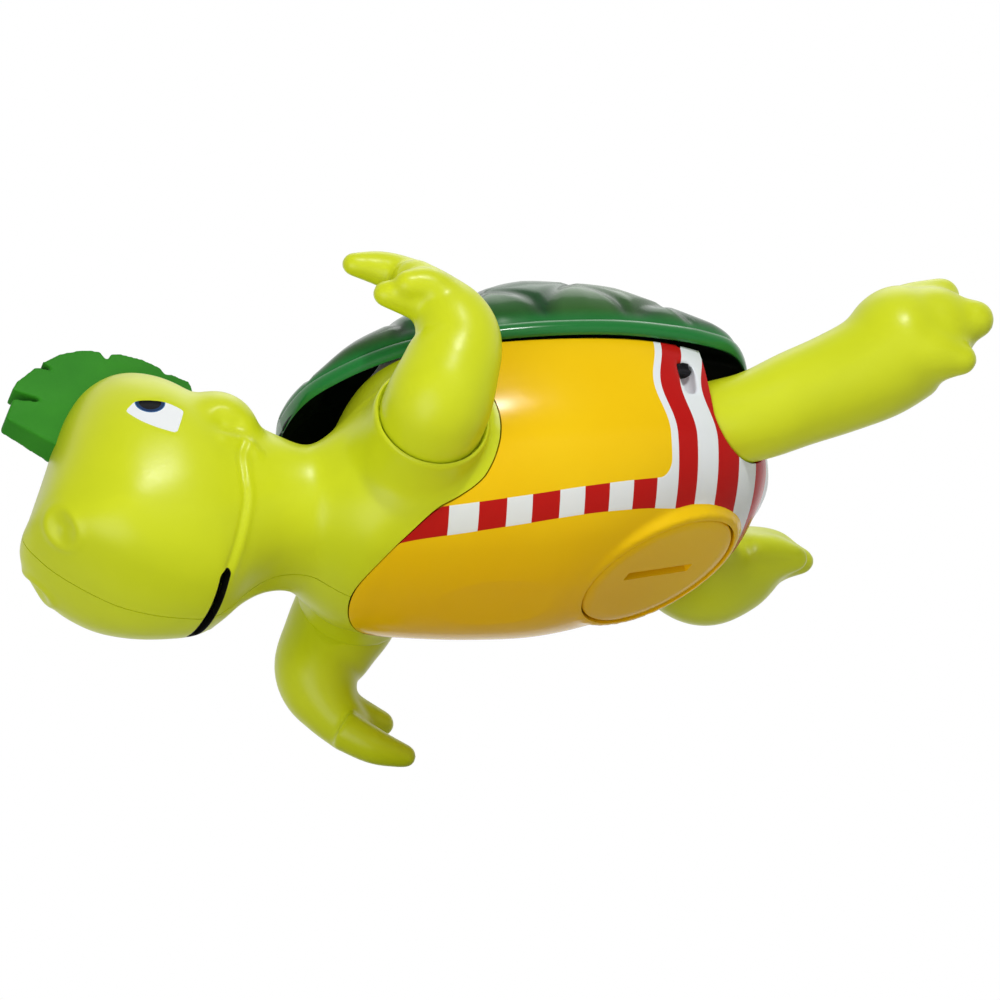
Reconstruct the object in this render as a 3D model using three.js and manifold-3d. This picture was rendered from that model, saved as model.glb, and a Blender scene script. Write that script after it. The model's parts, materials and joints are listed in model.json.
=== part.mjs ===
// Musical bath toy: a swimming turtle whose arms windmill on one geared cross shaft.
// Millimetres, +Z up, head towards -X, the turtle's left towards -Y.
// All pieces are drawn from the middle of the shoulder axis; the finished toy is then set on Z = 0.
import * as THREE from 'three';
import { mergeVertices } from 'three/addons/utils/BufferGeometryUtils.js';
import Module from 'manifold-3d';

const wasm = await Module();
wasm.setup();

// Fits shared by every piece
const SEAM_GAP = 0.3;
const RUNNING_GAP = 0.4;
const WALL = 2.6;
const ROUND_SIDES = 20;
const FINE_SIDES = 10;
const TIP_TURNS = [40, 72];
const LEAST = 1;

// Half the span over the shoulder faces, which the belly and the shell follow
const SHOULDER_HALF = 50;

// Head and neck sections along X: [x, half width, top, widest level, bottom, squareness below the level]
const HEAD_SECTIONS = [
  [-112.6, 7, -5, -7.5, -9.5, 2.3],
  [-109.6, 15, -0.2, -8.2, -13.8, 2.5],
  [-107, 19, 5, -9, -17, 2.7],
  [-101, 24.5, 17.5, -9, -22.4, 2.8],
  [-95, 28.5, 30, -7, -26.8, 2.8],
  [-87, 32, 39.5, -2, -31.4, 2.7],
  [-78, 33, 43, 2, -34.2, 2.6],
  [-69, 33, 41, 4, -35.6, 2.4],
  [-62, 31.5, 37, 3, -36, 2.25],
  [-55, 29, 31, 1, -32.5, 2.15],
  [-47, 27, 27, 0, -26, 2.15],
  [-38, 26, 22.5, 0, -22, 2.15],
  [-28, 28.5, 22.5, 0, -22.5, 2.15],
  [-16, 34, 24, 0, -26, 2.15],
];
// Torso sections along X: [x, share of SHOULDER_HALF, top, widest level, bottom]
const TORSO_SECTIONS = [
  [-30, 0.5, 24, 2, -21],
  [-20, 0.66, 35, 4, -29],
  [-8, 0.82, 46, 8, -32],
  [8, 0.92, 54, 12, -33.5],
  [26, 0.97, 58, 14, -34],
  [46, 0.99, 58, 14, -33],
  [64, 0.97, 56, 13, -29],
  [80, 0.9, 50, 12, -23.5],
  [94, 0.77, 44, 10, -18.8],
  [104, 0.58, 36, 8, -13],
  [110, 0.36, 25, 6, -5],
  [113, 0.16, 14, 5, -1],
].map(([x, share, ...heights]) => [x, share * SHOULDER_HALF, ...heights]);
const TORSO_SQUARENESS = 2.5;
const BELLY_FLAT_Z = -33.4;
const HEAD_SQUARENESS = 2.15;
const NECK_BORE = [[-34, 0, 0, 19], [-8, 0, 0, 21]];
const RIM_CUT_FRONT = -36;
const CHEEK = { x: -55.5, out: 18.5, up: 14.8, radii: [13.5, 12.5, 13.5] };

// Shell plan and ridge: [x, rim's share of SHOULDER_HALF, height of the ridge]
const SHELL_SECTIONS = [
  [-28, 0.16, 32.5],
  [-25, 0.38, 35],
  [-17, 0.6, 39.5],
  [-5, 0.8, 46.5],
  [10, 0.93, 53.5],
  [26, 1, 58.5],
  [44, 1.03, 61],
  [60, 1.02, 59.5],
  [76, 0.96, 54],
  [90, 0.84, 46.5],
  [100, 0.7, 40.5],
  [106, 0.48, 36],
  [108.5, 0.22, 32.5],
].map(([x, share, ridge]) => [x, share * SHOULDER_HALF, ridge]);
const ARCH_STEPS = 12;
const RIM_Z = 26;
const RIM_BAND = 5;
const DOME_INSET = 1.8;
const SHELL_SQUARENESS = 2.2;

// Seams: the belly's front edge bows back by BELLY_BOW at the shoulder faces
const BELLY_FRONT = -18;
const BELLY_BOW = 38;
const BELLY_EDGE_REACH = 1.28 * SHOULDER_HALF;
const BELLY_EDGE_STEPS = 16;

// Mouth slot across the underside of the head
const MOUTH_X = -61.5;
const MOUTH_WIDTH = 3.2;
const MOUTH_SPAN = 30;

// Shoulders and arm shaft
const SHOULDER_R = 15.5;
const SHOULDER_FLARE = [[0, SHOULDER_R], [5, SHOULDER_R + 0.1], [12, SHOULDER_R + 2], [22, SHOULDER_R + 6.5]];
const ARM_SEAM = 0.6;
const SHAFT_R = 3;
const SHAFT_IN_ARM = 9;
const BUSH_R = 5.5;
const BUSH_FLANGE_R = 8;
const BUSH_FLANGE = 1.6;
const SEAL_R = 7;
const SEAL_DEPTH = 3;
const SHOULDER_END = 8;

// Arm: centre line from the shoulder face, [x, outward, up, radius], then fingers from knuckle to tip
const ARM_LINE = [
  [0, 0, 0, SHOULDER_R],
  [0.5, 5, 2, SHOULDER_R],
  [3, 9, 9, 14.6],
  [7, 11.5, 19, 12.6],
  [8.5, 12.5, 28, 11.6],
  [6, 12.5, 35, 10.2],
  [0, 12, 39, 8],
];
const FINGERS = [
  [[2, 7, 40, 6], [-9, 6.5, 45, 5.2], [-17.5, 7, 46.5, 4]],
  [[3, 13, 38, 6], [-7, 14.5, 36.5, 5.2], [-12.5, 15, 32, 4]],
  [[5, 17.5, 34, 6], [-1, 20, 35, 5.4], [-6, 20.5, 33, 4.2]],
];
const RIGHT_ARM_LEAD = 10;

// Legs: [x, outward, up, radius] and toes from ball to tip, as [x, outward, up, radius]
const LEFT_LEG = [
  [80, 25, 10, 10],
  [90, 28.5, 7.5, 12.5],
  [102, 33, 7, 13.2],
  [116, 38, 10, 14.2],
  [128, 43, 12, 15.4],
  [139, 48, 17, 18.2],
  [148, 52, 19, 18],
  [155, 54, 20.5, 13],
];
const LEFT_TOES = [
  [[143, 46, 28, 10], [155, 49, 33, 8.2], [161, 51, 35, 6]],
  [[148, 53, 21, 11], [160, 57, 22.5, 8.2], [166.7, 59, 22, 6]],
  [[146, 57, 12, 10], [156, 59, 9.5, 7.4], [161.5, 60, 8, 4.8]],
];
const RIGHT_LEG = [
  [80, 25, 8, 10],
  [89, 31, 5, 13],
  [97, 38, 1, 14.2],
  [106, 43.5, -1, 14],
  [115, 45, 2, 13],
  [122, 45, 5, 11.5],
  [130, 44.5, 6.5, 8],
  [135, 45, 5.5, 5],
];
const RIGHT_TOES = [
  [[119, 39.5, 2.5, 9], [127, 38.5, 2.5, 7], [133, 37.5, 1.5, 4.2]],
  [[122, 45, 5, 9.5], [131, 45, 6, 7], [137.5, 45, 5, 4.2]],
  [[120, 51, 7, 9], [129, 52.5, 9, 7], [135.5, 53, 9, 4.2]],
];

// Hair crest: outline in the middle plane [x, z], from the brow over the notched top to the nape
const CREST_OUTLINE = [
  [-97, 18], [-112.4, 31.4], [-109.2, 38], [-101, 37.5], [-109, 41], [-107, 43.8], [-100.2, 48.8],
  [-95.4, 47.7], [-97.9, 50.2], [-92, 53.2], [-85, 54.4], [-79.8, 53.8], [-78.2, 50.6], [-76.2, 52.8],
  [-73, 52.4], [-67.5, 49.8], [-62.3, 45.6], [-61.9, 43.2], [-59.8, 43], [-56.9, 38.7], [-58, 28],
];
const CREST_THICK = 9;

// Battery cells, which set the chamber's bore
const CELL_R = 7.1;
const CELL_LONG = 50;
const CELLS = 3;
const CELL_GAP = 0.35;
const CELL_RING = (CELL_R + CELL_GAP / 2) / Math.sin(Math.PI / CELLS);
const NUB_R = 2.7;
const NUB_LONG = 1.4;
const BOX_R = CELL_RING + CELL_R + 2 * CELL_GAP;

// Belly door, its seat and the battery chamber behind it, all on one tilted axis
const DOOR_X = 76;
const DOOR_Z = -24.5;
const DOOR_TILT = 17;
const DOOR_R = 24.5;
const DOOR_THICK = 3;
const DOOR_RING = 2.4;
const DOOR_RING_RISE = 0.8;
const SEAT_FLOOR = 2;
const GASKET_THICK = 1.2;
const GASKET_WIDTH = 2.4;
const SPIGOT_WALL = 1.8;
const SPIGOT_R = BOX_R + SPIGOT_WALL;
const LUG_REACH = 2.4;
const LUG_THICK = 2;
const LUG_ANGLE = 26;
const LUG_PLAY = 4;
const LUG_STEPS = 4;
const UNLOCK_ANGLE = 60;
const COIN_SLOT = [24.5, 3.6, 1.8];
const COIN_SLOT_TURN = 16.6;
const BOX_WALL = 1.6;
const BOX_FLANGE = 8.8;
const CONTACT_MARGIN = 2;
const CONTACT_THICK = 0.8;

// The shell hooks in at the front and is held at the rear by a screw in each side pocket
const SCREW_X = 80.5;
const SCREW_Y = 0.84 * SHOULDER_HALF;
const POCKET_R = 3.6;
const POCKET_WALL = 1.8;
const POCKET_TOP = 19;
const POCKET_BOTTOM = 9;
const HOOK = [4, 26, 6];
const HOOK_X = -13;
const SCREW_R = 1.5;
const SCREW_HEAD_R = 2.9;
const SCREW_HEAD = 2;
const SCREW_LONG = 14;
const POST_R = 3.8;

// Gearbox: plates, gear layers along Y and the train from shaft to motor
const PLATE_LEFT_Y = -16;
const PLATE_RIGHT_Y = 6;
const PLATE_THICK = 2;
const PIN_R = 1.5;
const POSTS_R = 2.2;
const GEAR_MODULE = 1;
const OUTPUT_TEETH = 32;
const WHEEL_TEETH = 28;
const PINION_TEETH = 8;
const ADDENDUM = 0.7;
const DEDENDUM = 1.05;
const TOOTH_ROOT_SHARE = 0.46;
const TOOTH_TIP_SHARE = 0.18;
const GEAR_WIDTH = 3;
const PINION_WIDTH = 4.6;
const LAYER_STEP = 4.6;
const PINION_SIDE = 0.8;
const SINK = 0.5;
const FIRST_LAYER_Y = -13;
const SECOND_AXIS_ANGLE = 0;
const FIRST_AXIS_ANGLE = 64;
const MOTOR_ANGLE = 140;
const PLATE_OUTLINE = [[-9, -14], [30, -14], [40, 13], [36, 24], [31, 42], [2, 42], [-10, 28]];
const PLATE_FOOT = [[2, -40], [30, -40], [30, -13], [-2, -13]];
const GEARBOX_POSTS = [[5, -24], [26, -24], [-5, 26], [26, 38]];

// Motor, circuit board and speaker
const MOTOR_R = 10;
const MOTOR_FLAT = 7.6;
const MOTOR_LONG = 25;
const MOTOR_SHAFT_R = 1;
const MOTOR_SHAFT_IN = 6;
const MOTOR_BOSS_R = 3;
const BOARD = [30, 1.6, 24];
const BOARD_X = 20;
const BOARD_Z = 6;
const BOARD_STANDOFF = 5;
const BOARD_POST_IN = [4, 3];
const CHIP = [8, 1.8, 8];
const SPEAKER_X = -82;
const SPEAKER_Z = -20;
const SPEAKER_R = 14;
const SEAT_LIP = 1.5;
const SPEAKER_FRAME = 2.4;
const SPEAKER_CONE = 4;
const MAGNET_R = 7;
const MAGNET_LONG = 4;

// Finishes
const FINISHES = {
  lime: { color: 0xb4c524, roughness: 0.42, metalness: 0 },
  yellow: { color: 0xf2b81a, roughness: 0.18, metalness: 0 },
  green: { color: 0x1f6b2a, roughness: 0.2, metalness: 0 },
  crest: { color: 0x2a7a20, roughness: 0.4, metalness: 0 },
  white: { color: 0xe4e4dc, roughness: 0.45, metalness: 0 },
  rubber: { color: 0x262626, roughness: 0.8, metalness: 0 },
  steel: { color: 0xb8bcc0, roughness: 0.3, metalness: 1 },
  brass: { color: 0xc8a650, roughness: 0.3, metalness: 1 },
  board: { color: 0x1d5a34, roughness: 0.5, metalness: 0 },
  black: { color: 0x1b1b1d, roughness: 0.5, metalness: 0 },
  cell: { color: 0x8a8f96, roughness: 0.35, metalness: 0.4 },
};

const RAD = Math.PI / 180;
const toy = new THREE.Group();

function solidOf(geometry) {
  const bare = geometry.clone();
  for (const name of Object.keys(bare.attributes)) {
    if (name !== 'position') bare.deleteAttribute(name);
  }
  const merged = mergeVertices(bare, 1e-4);
  const corners = merged.index.array;
  const kept = [];
  for (let i = 0; i < corners.length; i += 3) {
    const [a, b, c] = [corners[i], corners[i + 1], corners[i + 2]];
    if (a !== b && b !== c && c !== a) kept.push(a, b, c);
  }
  return new wasm.Manifold(new wasm.Mesh({
    numProp: 3,
    vertProperties: new Float32Array(merged.attributes.position.array),
    triVerts: new Uint32Array(kept),
  }));
}

function addPiece(name, solid, finish) {
  const mesh = solid.getMesh();
  const geometry = new THREE.BufferGeometry();
  geometry.setAttribute('position', new THREE.BufferAttribute(mesh.vertProperties, 3));
  geometry.setIndex(new THREE.BufferAttribute(mesh.triVerts, 1));
  geometry.computeVertexNormals();
  const piece = new THREE.Mesh(geometry, new THREE.MeshStandardMaterial(FINISHES[finish]));
  piece.name = name;
  toy.add(piece);
}

// A closed skin over rings of equal count, with a fan on each end
function skin(rings) {
  const count = rings[0].length;
  const points = rings.flat();
  const faces = [];
  const first = points.length;
  const middle = (ring) => ring.reduce((sum, p) => sum.add(p), new THREE.Vector3()).divideScalar(count);
  points.push(middle(rings[0]), middle(rings[rings.length - 1]));
  for (let i = 0; i < rings.length - 1; i += 1) {
    for (let j = 0; j < count; j += 1) {
      const [a, b] = [i * count + j, i * count + ((j + 1) % count)];
      faces.push(a, b, a + count, b, b + count, a + count);
    }
  }
  const last = (rings.length - 1) * count;
  for (let j = 0; j < count; j += 1) {
    const next = (j + 1) % count;
    faces.push(first, next, j, first + 1, last + j, last + next);
  }
  return closed(points, faces);
}

// Turns the faces outward if the enclosed volume comes out negative
function closed(points, faces) {
  let volume = 0;
  for (let i = 0; i < faces.length; i += 3) {
    const [a, b, c] = [points[faces[i]], points[faces[i + 1]], points[faces[i + 2]]];
    volume += a.dot(new THREE.Vector3().crossVectors(b, c));
  }
  if (volume < 0) faces.reverse();
  const geometry = new THREE.BufferGeometry().setFromPoints(points);
  geometry.setIndex(faces);
  return solidOf(geometry);
}

const power = (value, squareness) => Math.sign(value) * Math.abs(value) ** (2 / squareness);

// Rounded sections set across X, shrunk by inset on every side
function bodyLoft(sections, squareness, inset = 0) {
  const rings = sections.map(([x, half, top, level, bottom, below = squareness], i) => {
    const end = (i === 0 ? inset : 0) - (i === sections.length - 1 ? inset : 0);
    return Array.from({ length: ROUND_SIDES }, (_, j) => {
      const turn = (2 * Math.PI * j) / ROUND_SIDES;
      const up = Math.sin(turn) > 0;
      const bend = up ? squareness : below;
      const across = Math.max(half - inset, LEAST) * power(Math.cos(turn), bend);
      const rise = Math.max(up ? top - inset - level : level - bottom - inset, LEAST);
      return new THREE.Vector3(x + end, across, level + rise * power(Math.sin(turn), bend));
    });
  });
  return skin(rings);
}

// Two shrinking sections past the last one, so that a limb ends round
function roundTip(spine) {
  const [before, last] = spine.slice(-2);
  const way = new THREE.Vector3(...last.slice(0, 3)).sub(new THREE.Vector3(...before.slice(0, 3))).normalize();
  const past = (turn) => [
    ...way.clone().multiplyScalar(last[3] * Math.sin(turn)).toArray().map((step, i) => last[i] + step),
    last[3] * Math.cos(turn),
  ];
  return [...spine, ...TIP_TURNS.map((turn) => past(turn * RAD))];
}

// Round sections along a line of [x, y, z, radius]; the first is square to firstWay when that is given
function limb(spine, sides, firstWay = null, grow = 0) {
  const line = roundTip(spine);
  const centres = line.map(([x, y, z]) => new THREE.Vector3(x, y, z));
  let side = null;
  const rings = centres.map((centre, i) => {
    const ahead = centres[Math.min(i + 1, centres.length - 1)];
    const behind = centres[Math.max(i - 1, 0)];
    const way = i === 0 && firstWay ? firstWay.clone() : ahead.clone().sub(behind).normalize();
    const seed = side || new THREE.Vector3(0, 0, 1).cross(way).add(new THREE.Vector3(1e-3, 0, 0));
    side = seed.clone().addScaledVector(way, -seed.dot(way)).normalize();
    const over = way.clone().cross(side);
    return Array.from({ length: sides }, (_, j) => {
      const turn = (2 * Math.PI * j) / sides;
      const radius = line[i][3] + grow;
      return centre.clone()
        .addScaledVector(side, radius * Math.cos(turn))
        .addScaledVector(over, radius * Math.sin(turn));
    });
  });
  return skin(rings);
}

function box(width, depth, height, x, y, z) {
  return solidOf(new THREE.BoxGeometry(width, depth, height).translate(x, y, z));
}

// A turned piece: profile of [radius, height], on the axis +Y unless a matrix places it
function turned(profile, sides, place = new THREE.Matrix4()) {
  const loop = profile.map(([r, h]) => new THREE.Vector2(r, h));
  if (profile[0][0] !== 0) loop.push(loop[0].clone());
  const spun = new THREE.LatheGeometry(loop, sides).applyMatrix4(place);
  const merged = mergeVertices(spun.deleteAttribute('normal').deleteAttribute('uv'), 1e-4);
  const spots = merged.attributes.position;
  const spot = (_, i) => new THREE.Vector3().fromBufferAttribute(spots, i);
  const points = Array.from({ length: spots.count }, spot);
  const faces = Array.from(merged.index.array);
  return closed(points, faces);
}

const rod = (radius, from, to) => [[0, from], [radius, from], [radius, to], [0, to]];
const tube = (inner, outer, from, to) => [[inner, from], [outer, from], [outer, to], [inner, to]];
const alongZ = (x, y) => new THREE.Matrix4().makeTranslation(x, y, 0)
  .multiply(new THREE.Matrix4().makeRotationX(Math.PI / 2));
const alongY = (x, z) => new THREE.Matrix4().makeTranslation(x, 0, z);

// A flat outline pushed through by depth, from the given level on
function plate(outline, depth, holes = []) {
  const shape = new THREE.Shape(outline.map(([u, v]) => new THREE.Vector2(u, v)));
  for (const [u, v, r] of holes) {
    shape.holes.push(new THREE.Path().absarc(u, v, r, 0, 2 * Math.PI, true));
  }
  return new THREE.ExtrudeGeometry(shape, { depth, bevelEnabled: false, curveSegments: FINE_SIDES / 2 });
}

// An XZ outline pushed along Y between two levels
function sidePlate(outline, fromY, toY, holes = []) {
  const upright = plate(outline, toY - fromY, holes).rotateX(Math.PI / 2);
  return solidOf(upright.translate(0, toY, 0));
}

const FAR = 200;

// All that lies on the left of the middle plane, moved over by shift
const leftHalf = (shift) => box(2 * FAR, FAR, 2 * FAR, 0, shift - FAR / 2, 0);

function behindBellyFront(shift) {
  const edge = Array.from({ length: BELLY_EDGE_STEPS + 1 }, (_, i) => {
    const y = BELLY_EDGE_REACH * ((2 * i) / BELLY_EDGE_STEPS - 1);
    return [BELLY_FRONT + shift + BELLY_BOW * (y / SHOULDER_HALF) ** 2, y];
  });
  const sides = [[FAR, BELLY_EDGE_REACH], [FAR, -BELLY_EDGE_REACH]];
  return solidOf(plate([...edge, ...sides], 2 * FAR).translate(0, 0, -FAR));
}

const belowRim = (gap) => box(2 * FAR, 2 * FAR, FAR, 0, 0, RIM_Z - gap - FAR / 2);

function shoulders(grow, halfSpan) {
  const flare = SHOULDER_FLARE.map(([inward, r]) => [r + grow, halfSpan - inward]);
  const mirrored = [...flare].reverse().map(([r, y]) => [r, -y]);
  return turned([[0, halfSpan], ...flare, ...mirrored, [0, -halfSpan]], ROUND_SIDES);
}

// The head with its two round cheeks, shrunk by inset
function headLoft(inset) {
  let head = bodyLoft(HEAD_SECTIONS, HEAD_SQUARENESS, inset);
  for (const side of [-1, 1]) {
    const ball = new THREE.SphereGeometry(1, FINE_SIDES, FINE_SIDES)
      .scale(...CHEEK.radii.map((r) => r - inset))
      .translate(CHEEK.x, side * CHEEK.out, CHEEK.up);
    head = head.add(solidOf(ball));
  }
  return head;
}

// Lime skins: head, neck and shoulders in a left and a right moulding that part in the middle plane
const headOuter = headLoft(0);
const torsoOuter = bodyLoft(TORSO_SECTIONS, TORSO_SQUARENESS)
  .intersect(box(2 * FAR, 2 * FAR, FAR, 0, 0, BELLY_FLAT_Z + FAR / 2));
const torsoInner = bodyLoft(TORSO_SECTIONS, TORSO_SQUARENESS, WALL);

function limeShell() {
  const hollow = headLoft(WALL)
    .add(limb(NECK_BORE, ROUND_SIDES))
    .add(torsoInner)
    .add(shoulders(-WALL, SHOULDER_HALF - SHOULDER_END));
  const underShell = belowRim(SEAM_GAP / 2).add(box(FAR, FAR, FAR, RIM_CUT_FRONT - FAR / 2, 0, FAR / 2));
  return headOuter
    .add(torsoOuter.subtract(behindBellyFront(-SEAM_GAP / 2)))
    .add(shoulders(0, SHOULDER_HALF))
    .intersect(underShell)
    .subtract(hollow)
    .subtract(turned(rod(BUSH_R + SEAM_GAP, -FAR, FAR), FINE_SIDES));
}

function limeSkins() {
  const mouth = box(MOUTH_WIDTH, MOUTH_SPAN, FAR, MOUTH_X, 0, -FAR / 2);
  const seat = turned(tube(SPEAKER_R - SEAT_LIP, SPEAKER_R + SEAT_LIP, -FAR, SPEAKER_Z - SEAM_GAP), ROUND_SIDES,
    alongZ(SPEAKER_X, 0));
  const sealFloor = SHOULDER_HALF - SEAL_DEPTH - SEAM_GAP;
  let whole = limeShell().subtract(mouth).add(seat.intersect(headOuter));
  for (const side of [-1, 1]) {
    whole = whole.subtract(turned(rod(SEAL_R + SEAM_GAP, side * sealFloor, side * FAR), ROUND_SIDES));
  }
  addPiece('left_skin', whole.intersect(leftHalf(-SEAM_GAP / 2)), 'lime');
  addPiece('right_skin', whole.subtract(leftHalf(SEAM_GAP / 2)), 'lime');
}

function hairCrest() {
  const block = sidePlate(CREST_OUTLINE, -CREST_THICK / 2, CREST_THICK / 2);
  addPiece('hair_crest', block.subtract(headLoft(-SEAM_GAP)), 'crest');
}

// Limbs
const limbLine = (line, side, flip = 1) => line.map(([x, out, up, r]) => [flip * x, side * out, flip * up, r]);

// flip is 1 for the raised arm and -1 for the lowered one; lead turns it on about the shaft
function arm(name, side, flip, lead) {
  const face = SHOULDER_HALF + ARM_SEAM;
  const [cos, sin] = [Math.cos(lead * RAD), Math.sin(lead * RAD)];
  const outward = ([x, out, up, r]) => [x * cos + up * sin, out + face, up * cos - x * sin, r];
  let solid = limb(limbLine(ARM_LINE.map(outward), side, flip), ROUND_SIDES, new THREE.Vector3(0, side, 0));
  for (const finger of FINGERS) {
    solid = solid.add(limb(limbLine(finger.map(outward), side, flip), FINE_SIDES));
  }
  const keep = box(FAR, FAR, FAR, 0, side * (face + FAR / 2), 0);
  const bore = rod(SHAFT_R + SEAM_GAP, 0, side * (SHOULDER_HALF + SHAFT_IN_ARM + SEAM_GAP));
  addPiece(name, solid.intersect(keep).subtract(turned(bore, FINE_SIDES)), 'lime');
}

function legSolid(line, toes, side, grow = 0) {
  let solid = limb(limbLine(line, side), ROUND_SIDES, null, grow);
  for (const toe of toes) {
    solid = solid.add(limb(limbLine(toe, side), FINE_SIDES, null, grow));
  }
  return solid;
}

// Shell: a domed loft over the rim, hollow, with a post for each screw
function shellLoft(inset, bottom) {
  const rings = SHELL_SECTIONS.map(([x, half, ridge], i) => {
    const end = (i === 0 ? inset : 0) - (i === SHELL_SECTIONS.length - 1 ? inset : 0);
    const across = half - inset;
    const bandTop = RIM_Z + RIM_BAND - inset / 2;
    const arch = Array.from({ length: ARCH_STEPS + 1 }, (_, j) => {
      const turn = (Math.PI * j) / ARCH_STEPS;
      const rise = Math.max(ridge - inset - bandTop, LEAST / 2);
      return new THREE.Vector3(x + end, (across - DOME_INSET) * power(Math.cos(turn), SHELL_SQUARENESS),
        bandTop + rise * power(Math.sin(turn), SHELL_SQUARENESS));
    });
    const edge = (sign, z) => new THREE.Vector3(x + end, sign * across, z);
    return [edge(1, bottom), edge(1, bandTop), ...arch, edge(-1, bandTop), edge(-1, bottom)];
  });
  return skin(rings);
}

const screwSpots = [['left_screw', -SCREW_Y], ['right_screw', SCREW_Y]];
const screwTop = POCKET_TOP - SEAM_GAP + SCREW_LONG;

function carapace() {
  const outer = shellLoft(0, RIM_Z + SEAM_GAP / 2);
  let solid = outer.subtract(shellLoft(WALL, RIM_Z - RIM_BAND));
  for (const [, y] of screwSpots) {
    const post = turned(rod(POST_R, RIM_Z + SEAM_GAP / 2, FAR), FINE_SIDES, alongZ(SCREW_X, y));
    const pilot = turned(rod(SCREW_R + SEAM_GAP, 0, screwTop + SEAM_GAP), FINE_SIDES, alongZ(SCREW_X, y));
    solid = solid.add(post.intersect(outer)).subtract(pilot);
  }
  const [long, wide, drop] = HOOK;
  const rib = box(long, wide, FAR, HOOK_X, 0, RIM_Z - drop + FAR / 2).intersect(outer.add(
    box(long, wide, 2 * drop, HOOK_X, 0, RIM_Z)));
  addPiece('carapace', solid.add(rib), 'green');
}

function shellScrew(name, y) {
  const under = POCKET_TOP - SEAM_GAP;
  const profile = [[0, under - SCREW_HEAD], [SCREW_HEAD_R, under - SCREW_HEAD], [SCREW_HEAD_R, under],
    [SCREW_R, under], [SCREW_R, screwTop], [0, screwTop]];
  addPiece(name, turned(profile, FINE_SIDES, alongZ(SCREW_X, y)), 'steel');
}

// Levels along the door axis, counted inward from the door's outer face
const doorAxis = new THREE.Matrix4().makeTranslation(DOOR_X, 0, DOOR_Z)
  .multiply(new THREE.Matrix4().makeRotationY(-DOOR_TILT * RAD))
  .multiply(new THREE.Matrix4().makeRotationX(Math.PI / 2));
const gasketLevel = DOOR_THICK + SEAM_GAP;
const seatLevel = gasketLevel + GASKET_THICK + SEAM_GAP;
const seatBack = seatLevel + SEAT_FLOOR;
const lugLevel = seatBack + RUNNING_GAP;
const spigotEnd = lugLevel + LUG_THICK;
const doorContact = spigotEnd + SEAM_GAP;
const cellLevel = doorContact + CONTACT_THICK + RUNNING_GAP;
const cellTop = cellLevel + CELL_LONG + NUB_LONG;
const topContact = cellTop + SEAM_GAP;
const boxCeiling = topContact + CONTACT_THICK + SEAM_GAP;
const lugReach = SPIGOT_R + LUG_REACH;

const onDoorAxis = (profile, sides = ROUND_SIDES) => turned(profile, sides, doorAxis);

// Two opposite sectors about the door axis, between two levels
function lugPair(reach, width, middle, from, to) {
  const sector = (start) => {
    const rim = Array.from({ length: LUG_STEPS + 1 }, (_, i) => {
      const turn = (start + width * (i / LUG_STEPS - 0.5)) * RAD;
      return [reach * Math.cos(turn), reach * Math.sin(turn)];
    });
    const flat = plate([[0, 0], ...rim], to - from).rotateX(-Math.PI / 2).translate(0, from, 0);
    return solidOf(flat.applyMatrix4(doorAxis));
  };
  return sector(middle).add(sector(middle + 180));
}

function plastron() {
  const bossR = DOOR_R + RUNNING_GAP + DOOR_RING;
  const inside = torsoOuter.intersect(belowRim(SEAM_GAP / 2));
  let solid = inside.subtract(torsoInner).add(onDoorAxis(rod(bossR, -DOOR_RING_RISE, seatBack)));
  for (const [, y] of screwSpots) {
    const column = rod(POCKET_R + POCKET_WALL, POCKET_BOTTOM - POCKET_WALL, FAR);
    solid = solid.add(turned(column, FINE_SIDES, alongZ(SCREW_X, y)).intersect(inside));
  }
  for (const [, y] of screwSpots) {
    solid = solid.subtract(turned(rod(POCKET_R, POCKET_BOTTOM, POCKET_TOP), FINE_SIDES, alongZ(SCREW_X, y)))
      .subtract(turned(rod(SCREW_R + SEAM_GAP, POCKET_BOTTOM, FAR), FINE_SIDES, alongZ(SCREW_X, y)));
  }
  solid = solid
    .subtract(onDoorAxis(rod(DOOR_R + RUNNING_GAP, -DOOR_R, seatLevel)))
    .subtract(onDoorAxis(rod(SPIGOT_R + RUNNING_GAP, 0, seatBack + SEAT_FLOOR)))
    .subtract(lugPair(lugReach + RUNNING_GAP, LUG_ANGLE + LUG_PLAY, -UNLOCK_ANGLE, 0, seatBack + SEAT_FLOOR))
    .intersect(behindBellyFront(SEAM_GAP / 2))
    .subtract(shoulders(RUNNING_GAP, SHOULDER_HALF))
    .subtract(legSolid(LEFT_LEG, [], -1, RUNNING_GAP))
    .subtract(legSolid(RIGHT_LEG, [], 1, RUNNING_GAP));
  addPiece('plastron', solid, 'yellow');
}

function batteryDoor() {
  const [length, width, depth] = COIN_SLOT;
  const slot = new THREE.BoxGeometry(length, 2 * depth, width)
    .rotateY(COIN_SLOT_TURN * RAD).applyMatrix4(doorAxis);
  const solid = onDoorAxis([[0, 0], [DOOR_R, 0], [DOOR_R, DOOR_THICK], [SPIGOT_R, DOOR_THICK],
    [SPIGOT_R, spigotEnd], [0, spigotEnd]])
    .add(lugPair(lugReach, LUG_ANGLE, 0, lugLevel, spigotEnd))
    .subtract(solidOf(slot));
  addPiece('battery_door', solid, 'yellow');
  const gasket = tube(DOOR_R - GASKET_WIDTH, DOOR_R, gasketLevel, gasketLevel + GASKET_THICK);
  addPiece('door_gasket', onDoorAxis(gasket), 'rubber');
  const contact = rod(BOX_R - CONTACT_MARGIN, doorContact, doorContact + CONTACT_THICK);
  addPiece('door_contact', onDoorAxis(contact, FINE_SIDES), 'brass');
}

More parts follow.
